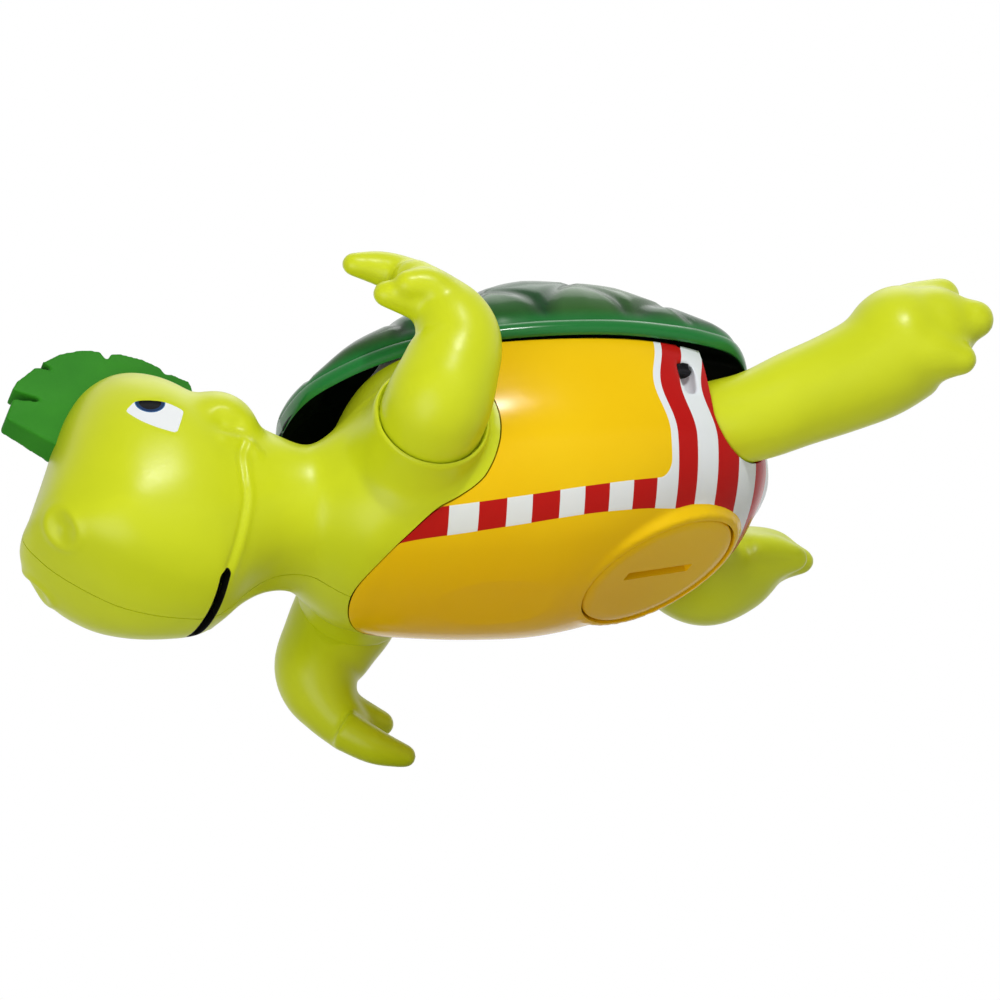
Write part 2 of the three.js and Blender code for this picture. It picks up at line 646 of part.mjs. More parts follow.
function batteryChamber() {
  const skirtR = lugReach + 2 * RUNNING_GAP;
  const skirt = seatBack + SEAM_GAP;
  const flange = spigotEnd + RUNNING_GAP;
  const outer = BOX_R + BOX_WALL;
  addPiece('battery_box', onDoorAxis([[BOX_R, flange], [BOX_R, boxCeiling], [0, boxCeiling],
    [0, boxCeiling + BOX_WALL], [outer, boxCeiling + BOX_WALL], [outer, flange + BOX_WALL],
    [BOX_R + BOX_FLANGE, flange + BOX_WALL], [BOX_R + BOX_FLANGE, skirt], [skirtR, skirt],
    [skirtR, flange]]), 'white');
  const contact = rod(BOX_R - RUNNING_GAP, topContact, topContact + CONTACT_THICK);
  addPiece('top_contact', onDoorAxis(contact, FINE_SIDES), 'brass');
  for (let i = 0; i < CELLS; i += 1) {
    const turn = (2 * Math.PI * i) / CELLS + Math.PI / 2;
    const place = doorAxis.clone().multiply(
      new THREE.Matrix4().makeTranslation(CELL_RING * Math.cos(turn), 0, CELL_RING * Math.sin(turn)));
    const shoulder = cellLevel + CELL_LONG;
    const profile = [[0, cellLevel], [CELL_R, cellLevel], [CELL_R, shoulder], [NUB_R, shoulder],
      [NUB_R, cellTop], [0, cellTop]];
    addPiece(`cell_${i + 1}`, turned(profile, FINE_SIDES, place), 'cell');
  }
}

// Arm shaft, its bearings and the gear train
function armShaft() {
  const reach = SHOULDER_HALF + SHAFT_IN_ARM;
  addPiece('arm_shaft', turned(rod(SHAFT_R, -reach, reach), FINE_SIDES), 'steel');
  const wall = SHOULDER_HALF - SHOULDER_END - SEAM_GAP;
  const bushEnd = SHOULDER_HALF - SEAL_DEPTH - 2 * SEAM_GAP;
  const bore = SHAFT_R + RUNNING_GAP;
  for (const [name, side] of [['left', -1], ['right', 1]]) {
    const bush = [[bore, wall - BUSH_FLANGE], [BUSH_FLANGE_R, wall - BUSH_FLANGE], [BUSH_FLANGE_R, wall],
      [BUSH_R, wall], [BUSH_R, bushEnd], [bore, bushEnd]];
    const seal = tube(bore, SEAL_R, SHOULDER_HALF - SEAL_DEPTH, SHOULDER_HALF);
    const placed = (profile) => profile.map(([r, y]) => [r, side * y]);
    addPiece(`${name}_shaft_bush`, turned(placed(bush), FINE_SIDES), 'white');
    addPiece(`${name}_shaft_seal`, turned(placed(seal), FINE_SIDES), 'rubber');
  }
}

const pitchR = (teeth) => (GEAR_MODULE * teeth) / 2;
const meshStep = (driver, pinion, angle) => {
  const reach = pitchR(driver) + pitchR(pinion);
  return [reach * Math.cos(angle * RAD), reach * Math.sin(angle * RAD)];
};
const secondAxis = meshStep(OUTPUT_TEETH, PINION_TEETH, SECOND_AXIS_ANGLE);
const firstStep = meshStep(WHEEL_TEETH, PINION_TEETH, FIRST_AXIS_ANGLE);
const firstAxis = [secondAxis[0] + firstStep[0], secondAxis[1] + firstStep[1]];
const motorStep = meshStep(WHEEL_TEETH, PINION_TEETH, MOTOR_ANGLE);
const motorAxis = [firstAxis[0] + motorStep[0], firstAxis[1] + motorStep[1]];
const layerY = (layer) => FIRST_LAYER_Y + layer * LAYER_STEP;
const facingGap = (angle) => angle + 180 + 180 / PINION_TEETH;

// A toothed wheel about (x, z) from level fromY on; one tooth points along the given angle
function gear(teeth, [x, z], pointing, fromY, width, bore) {
  const [root, tip] = [pitchR(teeth) - DEDENDUM * GEAR_MODULE, pitchR(teeth) + ADDENDUM * GEAR_MODULE];
  const half = 180 / teeth;
  const outline = Array.from({ length: teeth }, (_, i) => [
    [root, -TOOTH_ROOT_SHARE], [tip, -TOOTH_TIP_SHARE], [tip, TOOTH_TIP_SHARE], [root, TOOTH_ROOT_SHARE],
  ].map(([r, share]) => {
    const turn = (pointing + (2 * i + share) * half) * RAD;
    return [x + r * Math.cos(turn), z + r * Math.sin(turn)];
  })).flat();
  return sidePlate(outline, fromY, fromY + width, bore ? [[x, z, bore]] : []);
}

function gearTrain() {
  const output = gear(OUTPUT_TEETH, [0, 0], SECOND_AXIS_ANGLE, layerY(0), GEAR_WIDTH, SHAFT_R + SEAM_GAP);
  addPiece('output_gear', output, 'white');
  const compounds = [
    ['second_gear', secondAxis, FIRST_AXIS_ANGLE, SECOND_AXIS_ANGLE, 1],
    ['first_gear', firstAxis, MOTOR_ANGLE, FIRST_AXIS_ANGLE, 2],
  ];
  for (const [name, axis, pointing, driven, layer] of compounds) {
    const wheel = gear(WHEEL_TEETH, axis, pointing, layerY(layer), GEAR_WIDTH, PIN_R + RUNNING_GAP);
    const pinionY = layerY(layer) - PINION_WIDTH;
    const pinion = gear(PINION_TEETH, axis, facingGap(driven), pinionY, PINION_WIDTH + SINK, PIN_R + RUNNING_GAP);
    addPiece(name, wheel.add(pinion), 'white');
    const pin = rod(PIN_R, PLATE_LEFT_Y, PLATE_RIGHT_Y + PLATE_THICK);
    addPiece(`${name}_pin`, turned(pin, FINE_SIDES, alongY(...axis)), 'steel');
  }
  const stubEnd = PLATE_RIGHT_Y + PLATE_THICK + SEAM_GAP + MOTOR_SHAFT_IN;
  const stubStart = layerY(2) + GEAR_WIDTH / 2;
  const stub = turned(rod(MOTOR_SHAFT_R, stubStart, stubEnd), FINE_SIDES, alongY(...motorAxis));
  const pinion = gear(PINION_TEETH, motorAxis, facingGap(MOTOR_ANGLE), layerY(2) - PINION_SIDE,
    GEAR_WIDTH + 2 * PINION_SIDE, 0);
  addPiece('motor_pinion', pinion.add(stub), 'brass');
}

function gearbox() {
  const hole = ([x, z], r) => [x, z, r];
  const clear = SHAFT_R + RUNNING_GAP;
  const pins = [hole(secondAxis, PIN_R + SEAM_GAP), hole(firstAxis, PIN_R + SEAM_GAP)];
  const shaft = hole([0, 0], clear);
  const room = bodyLoft(TORSO_SECTIONS, TORSO_SQUARENESS, WALL + SEAM_GAP);
  const standing = (fromY, holes) => sidePlate(PLATE_OUTLINE, fromY, fromY + PLATE_THICK, holes)
    .add(sidePlate(PLATE_FOOT, fromY, fromY + PLATE_THICK).intersect(room));
  const leftPlate = standing(PLATE_LEFT_Y, [...pins, shaft]);
  const rightPlate = standing(PLATE_RIGHT_Y, [...pins, shaft, hole(motorAxis, MOTOR_BOSS_R)]);
  const boardY = PLATE_LEFT_Y - BOARD_STANDOFF;
  let carrier = leftPlate;
  for (const sign of [-1, 1]) {
    const x = BOARD_X + sign * (BOARD[0] / 2 - BOARD_POST_IN[0]);
    const z = BOARD_Z - BOARD[2] / 2 + BOARD_POST_IN[1];
    const post = rod(POSTS_R, boardY + SEAM_GAP, PLATE_LEFT_Y + SINK);
    carrier = carrier.add(turned(post, FINE_SIDES, alongY(x, z)));
  }
  addPiece('gearbox_left_plate', carrier, 'white');
  addPiece('gearbox_right_plate', rightPlate, 'white');
  GEARBOX_POSTS.forEach(([x, z], i) => {
    const post = rod(POSTS_R, PLATE_LEFT_Y + PLATE_THICK + SEAM_GAP, PLATE_RIGHT_Y - SEAM_GAP);
    addPiece(`gearbox_post_${i + 1}`, turned(post, FINE_SIDES, alongY(x, z)), 'steel');
  });
  const [width, thick, height] = BOARD;
  addPiece('circuit_board', box(width, thick, height, BOARD_X, boardY - thick / 2, BOARD_Z), 'board');
  const chipY = boardY - thick - SEAM_GAP - CHIP[1] / 2;
  addPiece('sound_chip', box(...CHIP, BOARD_X, chipY, BOARD_Z), 'black');
}

function motor() {
  const start = PLATE_RIGHT_Y + PLATE_THICK + SEAM_GAP;
  const can = turned(rod(MOTOR_R, start, start + MOTOR_LONG), ROUND_SIDES, alongY(...motorAxis));
  const flats = box(FAR, FAR, 2 * MOTOR_FLAT, motorAxis[0], 0, motorAxis[1]);
  const hole = rod(MOTOR_SHAFT_R + RUNNING_GAP, 0, start + MOTOR_SHAFT_IN + SEAM_GAP);
  addPiece('motor', can.intersect(flats).subtract(turned(hole, FINE_SIDES, alongY(...motorAxis))), 'steel');
}

function speaker() {
  const cone = SPEAKER_Z + SPEAKER_FRAME;
  const magnet = cone + SPEAKER_CONE;
  const profile = [[0, SPEAKER_Z], [SPEAKER_R, SPEAKER_Z], [SPEAKER_R, cone], [MAGNET_R, magnet],
    [MAGNET_R, magnet + MAGNET_LONG], [0, magnet + MAGNET_LONG]];
  addPiece('speaker', turned(profile, ROUND_SIDES, alongZ(SPEAKER_X, 0)), 'black');
}

limeSkins();
hairCrest();
arm('left_arm', -1, 1, 0);
arm('right_arm', 1, -1, RIGHT_ARM_LEAD);
addPiece('left_leg', legSolid(LEFT_LEG, LEFT_TOES, -1), 'lime');
addPiece('right_leg', legSolid(RIGHT_LEG, RIGHT_TOES, 1), 'lime');
plastron();
carapace();
screwSpots.forEach(([name, y]) => shellScrew(name, y));
batteryDoor();
batteryChamber();
armShaft();
gearTrain();
gearbox();
motor();
speaker();

// The origin is the middle of the box's base
const bounds = new THREE.Box3().setFromObject(toy, true);
const centre = bounds.getCenter(new THREE.Vector3());
toy.position.set(-centre.x, -centre.y, -bounds.min.z);

const object = new THREE.Group();
object.add(toy);
export default object;
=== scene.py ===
import json
import math

import bmesh
import bpy
import numpy as np
from mathutils import Matrix, Vector


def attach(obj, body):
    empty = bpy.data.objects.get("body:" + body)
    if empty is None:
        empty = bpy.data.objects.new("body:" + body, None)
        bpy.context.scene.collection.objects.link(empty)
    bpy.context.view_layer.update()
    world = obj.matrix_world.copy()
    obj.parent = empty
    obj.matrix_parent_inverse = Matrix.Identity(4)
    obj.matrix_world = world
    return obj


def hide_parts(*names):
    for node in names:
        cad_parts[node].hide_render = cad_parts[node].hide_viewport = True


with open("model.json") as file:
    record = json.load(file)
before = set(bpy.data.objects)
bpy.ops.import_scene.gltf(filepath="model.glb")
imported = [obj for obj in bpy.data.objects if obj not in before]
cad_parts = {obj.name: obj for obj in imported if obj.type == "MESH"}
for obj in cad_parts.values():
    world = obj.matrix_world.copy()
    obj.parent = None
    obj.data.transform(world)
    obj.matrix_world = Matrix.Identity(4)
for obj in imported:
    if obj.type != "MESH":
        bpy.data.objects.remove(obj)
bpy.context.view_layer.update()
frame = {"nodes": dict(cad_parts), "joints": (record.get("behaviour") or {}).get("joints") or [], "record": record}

# Every table below is in millimetres from the middle of the shoulder shaft, unless it says otherwise,
# with the head towards -X and the left side towards -Y
MM = 0.001
SHAFT = Vector(next(j["pos_m"] for j in frame["joints"] if j["name"] == "arm_spin"))

# Sections along X: [x, half width, top, widest level, bottom], on the head with the squareness below
# that level
HEAD = [
    [-113.2, 0.6, -6, -7, -8, 2.2], [-112.6, 7, -5, -7.5, -9.5, 2.3], [-110.5, 13.5, -2, -8, -12.5, 2.5],
    [-107.5, 18.5, 4, -9, -16.5, 2.7], [-101, 24.5, 17.5, -9, -22.4, 2.8], [-95, 28.5, 30, -7, -26.8, 2.8],
    [-87, 32, 39.5, -2, -31.4, 2.7], [-78, 33, 43, 2, -34.2, 2.6], [-69, 33, 41, 4, -35.6, 2.4],
    [-62, 31.5, 37, 3, -36, 2.25], [-55, 29, 31, 1, -32.5, 2.15], [-47, 27, 27, 0, -26, 2.15],
    [-38, 25, 21.5, 0, -22, 2.15], [-28, 25, 14.5, 0, -22.5, 2.15], [-16, 31, 14, 0, -26, 2.15],
]
# Squareness of the sections above that level; the torso's holds below it too
HEAD_SQUARE, TORSO_SQUARE = 2.15, 2.5
TORSO = [
    [-30, 23, 12, 0, -21], [-20, 32, 17, 0, -29], [-8, 41, 34, 6, -32], [8, 46, 52, 12, -33.5],
    [26, 48.5, 58, 14, -34], [46, 49.5, 58, 14, -33], [64, 48.5, 56, 13, -29],
    [80, 45, 50, 12, -23.5], [94, 38.5, 44, 10, -18.8], [104, 29, 36, 8, -13],
    [110, 18, 25, 6, -5], [113, 8, 14, 5, -1], [113.8, 1, 6, 5, 4],
]
# Shell: [x, half width of the rim, height of the ridge]
SHELL = [
    [-28.6, 1, 31.6], [-28, 8, 32.5], [-25, 19, 35], [-17, 30, 39.5], [-5, 40, 46.5],
    [10, 46.5, 53.5], [26, 50, 58.5], [44, 51.5, 61], [60, 51, 59.5], [76, 48, 54],
    [90, 43.5, 46.5], [100, 37.5, 40.5], [106, 27.5, 36], [108.8, 14, 32.5], [109.4, 1, 31.6],
]
# The cheek's middle on either side, and its half sizes
CHEEK, CHEEK_HALF = [-55.5, 18.5, 14.8], [13.5, 12.5, 13.5]
# Half the span over the shoulders and their radius, then an arm's socket: its radius, the depth of its
# floor, and how far in from the shoulder's end the skin is opened for it
SHOULDER_HALF, SHOULDER_R, SOCKET_R, SOCKET_DEPTH, SOCKET_REACH = 50.0, 17.2, 16.3, 1.6, 4.0
# The shoulder's flare: [inward from its end, growth of its radius]
FLARE = [[0, 0], [5, 0.3], [12, 1.6], [22, 5]]
# How far the lime collar reaches past the flare: [distance from the middle plane, reach]
COLLAR = [[25, 0.6], [35, 1.2], [41, 3.4], [50, 3.8]]
# Nearer to the middle plane than this there is no collar, and its field says so
COLLAR_FROM, NO_COLLAR = 20.0, -50.0
# The smoothed neck ends here and fades in ahead; the smoothed fold round a shoulder is this far past the
# flare and this wide, ends at a distance from the middle plane, and has a limit to the rear
NECK_END, NECK_FADE = -14.0, 12.0
FOLD_PAST, FOLD_WIDTH, FOLD_END, FOLD_FADE, FOLD_REAR = 1.0, 8.0, 47.0, 3.0, 24.0
# The shell's rim: its level and height, and the dome above it: its inset from the plan and squareness
RIM_Z, RIM_BAND, DOME_INSET, DOME_SQUARE = 26.0, 5.0, 1.8, 2.2
# At the shell's tips: least half width and rise of the dome, and half width of the rim
TIP_HALF, TIP_RISE, TIP_RIM = 0.4, 0.5, 0.3
# The rim's rolled profile: [outward from the plan, up from its level]
RIM_ROLL = [[-2.8, 1.2], [-2.2, 0.4], [-1.1, 0], [0, 0.5], [0.6, 1.7], [0.6, 3.1], [0, 4.3], [-1, 4.9]]
# Plates: pitch along and across, the groove's width and depth, the crown, and how they fade at the rim
SCUTE, SCUTE_GROOVE, SCUTE_CROWN, SCUTE_FADE = (27.0, 34.0), (2.2, 0.7), 1.0, 5.0
# The lime seam: its place in the middle plane, its bow to the rear at the shoulders, where it runs on the
# deck and between which levels it moves there, and the softness of its corners
BELLY_FRONT, BELLY_BOW, DECK_LIME, DECK_RISE, SEAM_TURN = -18.0, 38.0, 10.0, (2.0, 10.0), 1.5
# The flat that the toy rests on: its level, and its limit to the front
BELLY_FLAT, FLAT_FRONT = -33.4, -28.0
# Ahead of this the head rises past the rim's level
NECK_X = -36.0
# A leg's notch: its limit to the front, and how high it opens, in steps
NOTCH_X, NOTCH_RISE, NOTCH_STEP = 88.0, 21, 4
# The door: the middle of its face, tilt in degrees, radius, the ring round it and depth of its hole
DOOR_AT, DOOR_TILT, DOOR_R, DOOR_RING, DOOR_HOLE_DEEP = (76.0, 0.0, -24.5), 17.0, 24.5, 2.8, 12.0
# The ring's face and back as depths from the door's face, and its bevel
BOSS_FACE, BOSS_EDGE, BOSS_DEEP = -0.2, 0.6, 9.0
# The door as [radius, depth from its face], its coin slot as [long, wide, deep], and its lugs as
# [from radius, to radius, width in degrees, from depth, to depth]
DOOR_PROFILE = [
    [0, -0.2], [20, -0.1], [23.6, 0], [24.2, 0.3], [24.5, 1], [24.5, 3], [18, 3], [18, 9.2], [0, 9.2],
]
COIN_SLOT, COIN_SLOT_TURN, COIN_SLOT_BEVEL = [24.5, 3.6, 3.2], 16.6, 0.5
LUG = [17.5, 20.4, 26.0, 7.2, 9.2]
# Depth of the cells' far ends from the door's face
CELLS_DEEP = 62.0
# Screw pocket in the belly's side: it narrows by the taper below its straight top
POCKET_X, POCKET_Y, POCKET_R, POCKET_Z = 80.5, 42.0, 3.5, (9.0, 19.0)
POCKET_TAPER, POCKET_STRAIGHT = 0.6, 4.0
# Gaps along the seams, under the rim, round the legs and round the door
SEAM, RIM_GAP, LEG_GAP, DOOR_GAP = 0.4, 0.3, 0.4, 0.5
SKIN_WALL, TUB_WALL, SHELL_WALL = 2.2, 2.4, 2.0
# Voxels of the pieces that are remeshed, and the rounds of smoothing after it
BODY_VOXEL, ARM_VOXEL, LEG_VOXEL, CREST_VOXEL = 0.9, 0.75, 0.8, 0.5
BODY_ROUNDS, SOFT_ROUNDS, ARM_ROUNDS, LEG_ROUNDS, CREST_ROUNDS = 5, 26, 14, 26, 3
# Edges that turn by more degrees than this stay sharp
SHARP_ANGLE = 48
# What a cutting field says where it cuts nothing
UNCUT = 20.0

# Rings on the ball at a limb's end, in degrees, and a direction in which no limb starts
BALL_RINGS, ASKEW = [18, 36, 54, 70, 82, 88], [0.13, 0.2, 0.97]
# Limbs: [x, outward, up, radius]
ARM = [
    [0, -6, 0, 15.5], [0, 0.6, 0, 15.5], [1, 5.6, 2, 15.5], [4.5, 9.6, 9, 14.3],
    [8, 12.1, 19, 12.5], [6.4, 13.1, 25, 11.2], [3.4, 13.1, 31, 8.8], [-1.5, 12.6, 37.3, 7],
]
FINGERS = [
    [[2, 7.6, 40.5, 6.2], [-9, 7.1, 46, 5.2], [-17, 7.6, 47.4, 3.6]],
    [[3, 13.6, 29, 7], [-5, 14.6, 31, 5.6], [-12, 15.6, 32, 4]],
    [[5, 17, 28.5, 6.5], [-1, 19.2, 32.3, 5.5], [-6.5, 20, 32.4, 4.2]],
]
# Degrees by which the lowered right arm is turned on past half a turn
RIGHT_ARM_LEAD = 10.0
LEFT_LEG = [
    [80, 25, 10, 10], [90, 28.5, 7.5, 12.5], [102, 33, 7, 13.2], [116, 38, 10, 14.2],
    [128, 43, 12, 15], [139, 48, 14.8, 16], [148, 52, 20.3, 17], [155, 54, 22, 13],
]
LEFT_TOES = [
    [[143, 46, 28, 10], [155, 49, 33, 8.2], [161, 51, 35, 6]],
    [[148, 53, 21, 11], [160, 57, 22.5, 8.2], [166.7, 59, 22, 6]],
    [[146, 56, 14, 11], [155, 58, 10.5, 8], [159.8, 59, 8.5, 5]],
]
RIGHT_LEG = [
    [80, 25, 8, 10], [89, 31, 5, 13], [97, 38, 1, 14.2], [106, 43.5, -1, 14],
    [115, 45, 2, 13], [122, 45, 5, 11.5], [130, 44.5, 6.5, 8], [135, 45, 5.5, 5],
]
RIGHT_TOES = [
    [[119, 39.5, 2.5, 9], [127, 38.5, 2.5, 7], [133, 37.5, 1.5, 4.2]],
    [[122, 45, 5, 9.5], [131, 45, 6, 7], [137.5, 45, 5, 4.2]],
    [[120, 51, 7, 9], [129, 52.5, 9, 7], [135.5, 53, 9, 4.2]],
]
# The crest's outline as [x, z], and its half thickness below the root's level and above it
CREST = [
    [-96, 19.2], [-112, 31.8], [-108.6, 38.3], [-96.8, 36.6], [-108.4, 41.4], [-106.4, 44.2], [-99.8, 49],
    [-93.2, 46.9], [-97.7, 50.4], [-92, 53.2], [-85, 54.4], [-79.8, 53.8], [-78.2, 50.6], [-76.4, 52.8],
    [-73.2, 52.5], [-67.5, 50.6], [-62.3, 47.4], [-61.7, 45.4], [-59.6, 45.2], [-54.6, 42.4], [-54, 37],
    [-58, 28],
]
CREST_ROOT_Z, CREST_ROOT, CREST_TIP = 31.0, 5.4, 4.0

# The face on either side of the middle plane: nostril and iris as [x, outward, z], lines as [x, z]
NOSTRIL, NOSTRIL_R, NOSTRIL_TALL = [-106.4, 16.9, -14.4], 4.0, 0.8
# The nostril's raised ring as [out from its radius, width, height], and its dent as [in from it, depth]
NOSTRIL_RING, NOSTRIL_DENT = [1.4, 1.6, 0.6], [0.6, 2.0]
EYE = [
    [-84.6, 17], [-80.9, 20.6], [-76.9, 20.5], [-72.2, 19.2], [-67.5, 15.6], [-71.5, 7.1], [-77.3, 9.4],
    [-81.9, 12.9],
]
EYE_CORNER, EYE_OUT, EYE_SUNK, EYE_EDGE = 2.5, 15.0, 0.35, 1.2
# The iris has a light rim of this width, and its colours lie on a scale of this length
IRIS, IRIS_R, PUPIL_R, IRIS_RIM, IRIS_SCALE = [-76.8, 30.5, 19.8], 4.5, 3.3, 0.25, 10.0
CREASE = [
    [-50.6, 6.4], [-52.4, 2.5], [-52.9, -4.1], [-53, -11.7], [-54.5, -17.5], [-56.8, -24.2], [-59.2, -29.6],
]
FOLD_BEHIND = 1.9
DIMPLE = [[-55.5, 12.4], [-51.8, 11.2]]
LIP = [[-56, 7.6], [-52, 7.4], [-48.6, 6.4], [-47, 3.6]]
# What the face's lines do, further out than a least distance from the middle plane: (line, width, height)
FACE_OUT = 8.0
FACE_LINES = [
    (CREASE, 0.8, -0.55), ([[x + FOLD_BEHIND, z] for x, z in CREASE], 1.2, 0.5),
    (DIMPLE, 3.6, -2.4), (LIP, 2.3, 0.9),
]
# The mouth slot's ends as [x, y] on the head's underside, below this level, and the width of the band along its
# edge that is painted black as shade
MOUTH, MOUTH_HALF, MOUTH_Z, MOUTH_SHADE_BAND = [[-59.8, -15.4], [-63.5, 13]], 1.6, -24.0, 0.35

# Stripes on the belly: painted red along X, each [from, to], the rest white
RED = [
    [-30, 4.2], [13.1, 21.3], [29.1, 36.8], [44.6, 52.2], [59.7, 67.8], [74.6, 81.2], [87.8, 95.5],
    [103, 109],
]
STRIPE_END = 120.0
# Where the paint stops: at the side's panel, the belt's edges, the belly and the door's ring
SIDE_END, SIDE_CORNER, BELT_WIDTH, BELT_RISE, BELT_LEVEL = 72.6, 4.0, 5.7, 0.0012, -27.3
BELLY_END, RING_END = 90.0, 28.2
# The stripes swing to the front at the waist
WAIST_Z, WAIST_REACH, WAIST_PULL = 10.5, 15.0, 3.1

# The photo's right and up as directions, its framing in metres, and its middle in millimetres right of
# the shaft and above it
VIEW_RIGHT, VIEW_UP = (0.955, -0.237, -0.180), (0.028, -0.531, 0.847)
VIEW_DISTANCE, VIEW_WIDTH, VIEW_MIDDLE = 6.0, 0.29, (31.175, 2.175)
# Lamps: (name, place from the shaft in metres, size in metres, watts)
LAMPS = [
    ("key_softbox", (0.1, -0.93, 0.33), 0.07, 4.2), ("top_softbox", (0.3, 0.1, 0.95), 0.6, 1.5),
    ("fill_softbox", (-0.5, -0.42, -0.38), 0.5, 2.2),
]
# The studio: the cosines between which reflections go from the dim room to the white backdrop, the dim
# room's strength, and the strength that lights the toy
BACKDROP, ROOM_STRENGTH, TOY_STRENGTH = (-0.3, 0.6), 0.1, 0.33
# The board under the toy: half its side, and its distance below the lowest hand
FLOOR_HALF, FLOOR_GAP = 1500.0, 1.0


def in_frame(points):
    """Millimetres from the shaft, as metres in the frame."""
    return np.asarray(points, float) * MM + np.array(SHAFT)


def in_mm(mesh):
    """A mesh's vertices in millimetres from the shaft."""
    flat = np.empty(len(mesh.vertices) * 3)
    mesh.vertices.foreach_get("co", flat)
    return (flat.reshape(-1, 3) - np.array(SHAFT)) / MM


def new_object(name, points, faces):
    """An object in the scene, from points in millimetres from the shaft."""
    mesh = bpy.data.meshes.new(name)
    mesh.from_pydata(in_frame(points).tolist(), [], faces)
    made = bpy.data.objects.new(name, mesh)
    bpy.context.scene.collection.objects.link(made)
    return made


def spline(rows, count):
    """Rows of numbers resampled evenly along a smooth curve through them."""
    table = np.array(rows, float)
    steps = np.linalg.norm(np.diff(table, axis=0), axis=1)
    at = np.concatenate([[0], np.cumsum(steps)])
    slope = np.gradient(table, at, axis=0)
    s = np.linspace(0, at[-1], count)
    i = np.clip(np.searchsorted(at, s, side="right") - 1, 0, len(at) - 2)
    span = (at[i + 1] - at[i])[:, None]
    t = ((s - at[i]) / span[:, 0])[:, None]
    return ((2 * t**3 - 3 * t**2 + 1) * table[i] + (t**3 - 2 * t**2 + t) * span * slope[i]
            + (3 * t**2 - 2 * t**3) * table[i + 1] + (t**3 - t**2) * span * slope[i + 1])


def skin(rings):
    """Points and faces of a closed skin over rings of equal count."""
    count = len(rings[0])
    points = np.concatenate([np.concatenate(rings), [np.mean(rings[0], 0), np.mean(rings[-1], 0)]])
    first = len(rings) * count
    faces = []
    for i in range(len(rings) - 1):
        for j in range(count):
            k = (j + 1) % count
            faces.append((i * count + j, i * count + k, (i + 1) * count + k, (i + 1) * count + j))
    for j in range(count):
        k = (j + 1) % count
        faces.append((first, k, j))
        faces.append((first + 1, first - count + j, first - count + k))
    return points, faces


def outward(obj):
    """The object with its faces turned outwards."""
    edit = bmesh.new()
    edit.from_mesh(obj.data)
    bmesh.ops.recalc_face_normals(edit, faces=edit.faces)
    edit.to_mesh(obj.data)
    edit.free()
    return obj


def power(value, square):
    """A cosine or sine, bent so that the ellipse it draws gets this squareness."""
    return np.sign(value) * np.abs(value) ** (2 / square)


def body_loft(name, sections, square, rings=90, around=96):
    """A closed skin over rounded sections along X, squared by one number above their level."""
    turn = np.linspace(0, 2 * math.pi, around, endpoint=False)
    across, rise = np.cos(turn), np.sin(turn)
    made = []
    for x, half, top, level, bottom, low_square in spline(sections, rings):
        shape = np.where(rise > 0, square, low_square)
        height = np.where(rise > 0, top - level, level - bottom)
        made.append(np.stack([np.full(around, x), half * power(across, shape),
                              level + height * power(rise, shape)], 1))
    return outward(new_object(name, *skin(made)))


def limb(name, spine, around=40, rings=40):
    """Round sections along a curved line of [x, y, z, radius], with a ball at its end."""
    line = spline(spine, rings)
    way = np.gradient(line[:, :3], axis=0)
    way /= np.linalg.norm(way, axis=1)[:, None]
    end, r = line[-1, :3], line[-1, 3]
    past = [[*(end + way[-1] * r * math.sin(a)), r * math.cos(a)] for a in np.radians(BALL_RINGS)]
    line = np.concatenate([line, past])
    way = np.concatenate([way, np.repeat(way[-1:], len(past), 0)])
    turn = np.linspace(0, 2 * math.pi, around, endpoint=False)
    made, side = [], np.cross(ASKEW, way[0])
    for (x, y, z, radius), ahead in zip(line, way):
        side = side - ahead * side.dot(ahead)
        side /= np.linalg.norm(side)
        over = np.cross(ahead, side)
        ring = np.outer(np.cos(turn), side) + np.outer(np.sin(turn), over)
        made.append(np.array([x, y, z]) + radius * ring)
    return outward(new_object(name, *skin(made)))


def lathe(name, profile, place=Matrix.Identity(4), around=96):
    """A turned solid about +Y from a profile of [radius, height] that starts and ends on the axis."""
    turn = np.linspace(0, 2 * math.pi, around, endpoint=False)
    rings = [np.stack([max(r, 1e-3) * np.cos(turn), np.full(around, h), max(r, 1e-3) * np.sin(turn)], 1)
             for r, h in profile]
    points, faces = skin(rings)
    points = [place @ Vector(p) for p in points]
    return outward(new_object(name, points, faces))


def prism(name, near, far):
    """A solid between two outlines of equal count."""
    count = len(near)
    faces = [tuple(range(count - 1, -1, -1)), tuple(range(count, 2 * count))]
    faces += [(i, (i + 1) % count, count + (i + 1) % count, count + i) for i in range(count)]
    return outward(new_object(name, [*near, *far], faces))


def joined(name, parts):
    """One object from several, which go."""
    edit = bmesh.new()
    for part in parts:
        edit.from_mesh(part.data)
    mesh = bpy.data.meshes.new(name)
    edit.to_mesh(mesh)
    edit.free()
    for part in parts:
        bpy.data.objects.remove(part)
    made = bpy.data.objects.new(name, mesh)
    bpy.context.scene.collection.objects.link(made)
    return made


def modified(obj, kind, **settings):
    """The object with one modifier applied to its mesh."""
    mod = obj.modifiers.new(kind, kind)
    for key, value in settings.items():
        setattr(mod, key, value)
    graph = bpy.context.evaluated_depsgraph_get()
    mesh = bpy.data.meshes.new_from_object(obj.evaluated_get(graph))
    obj.modifiers.clear()
    obj.data = mesh
    return obj


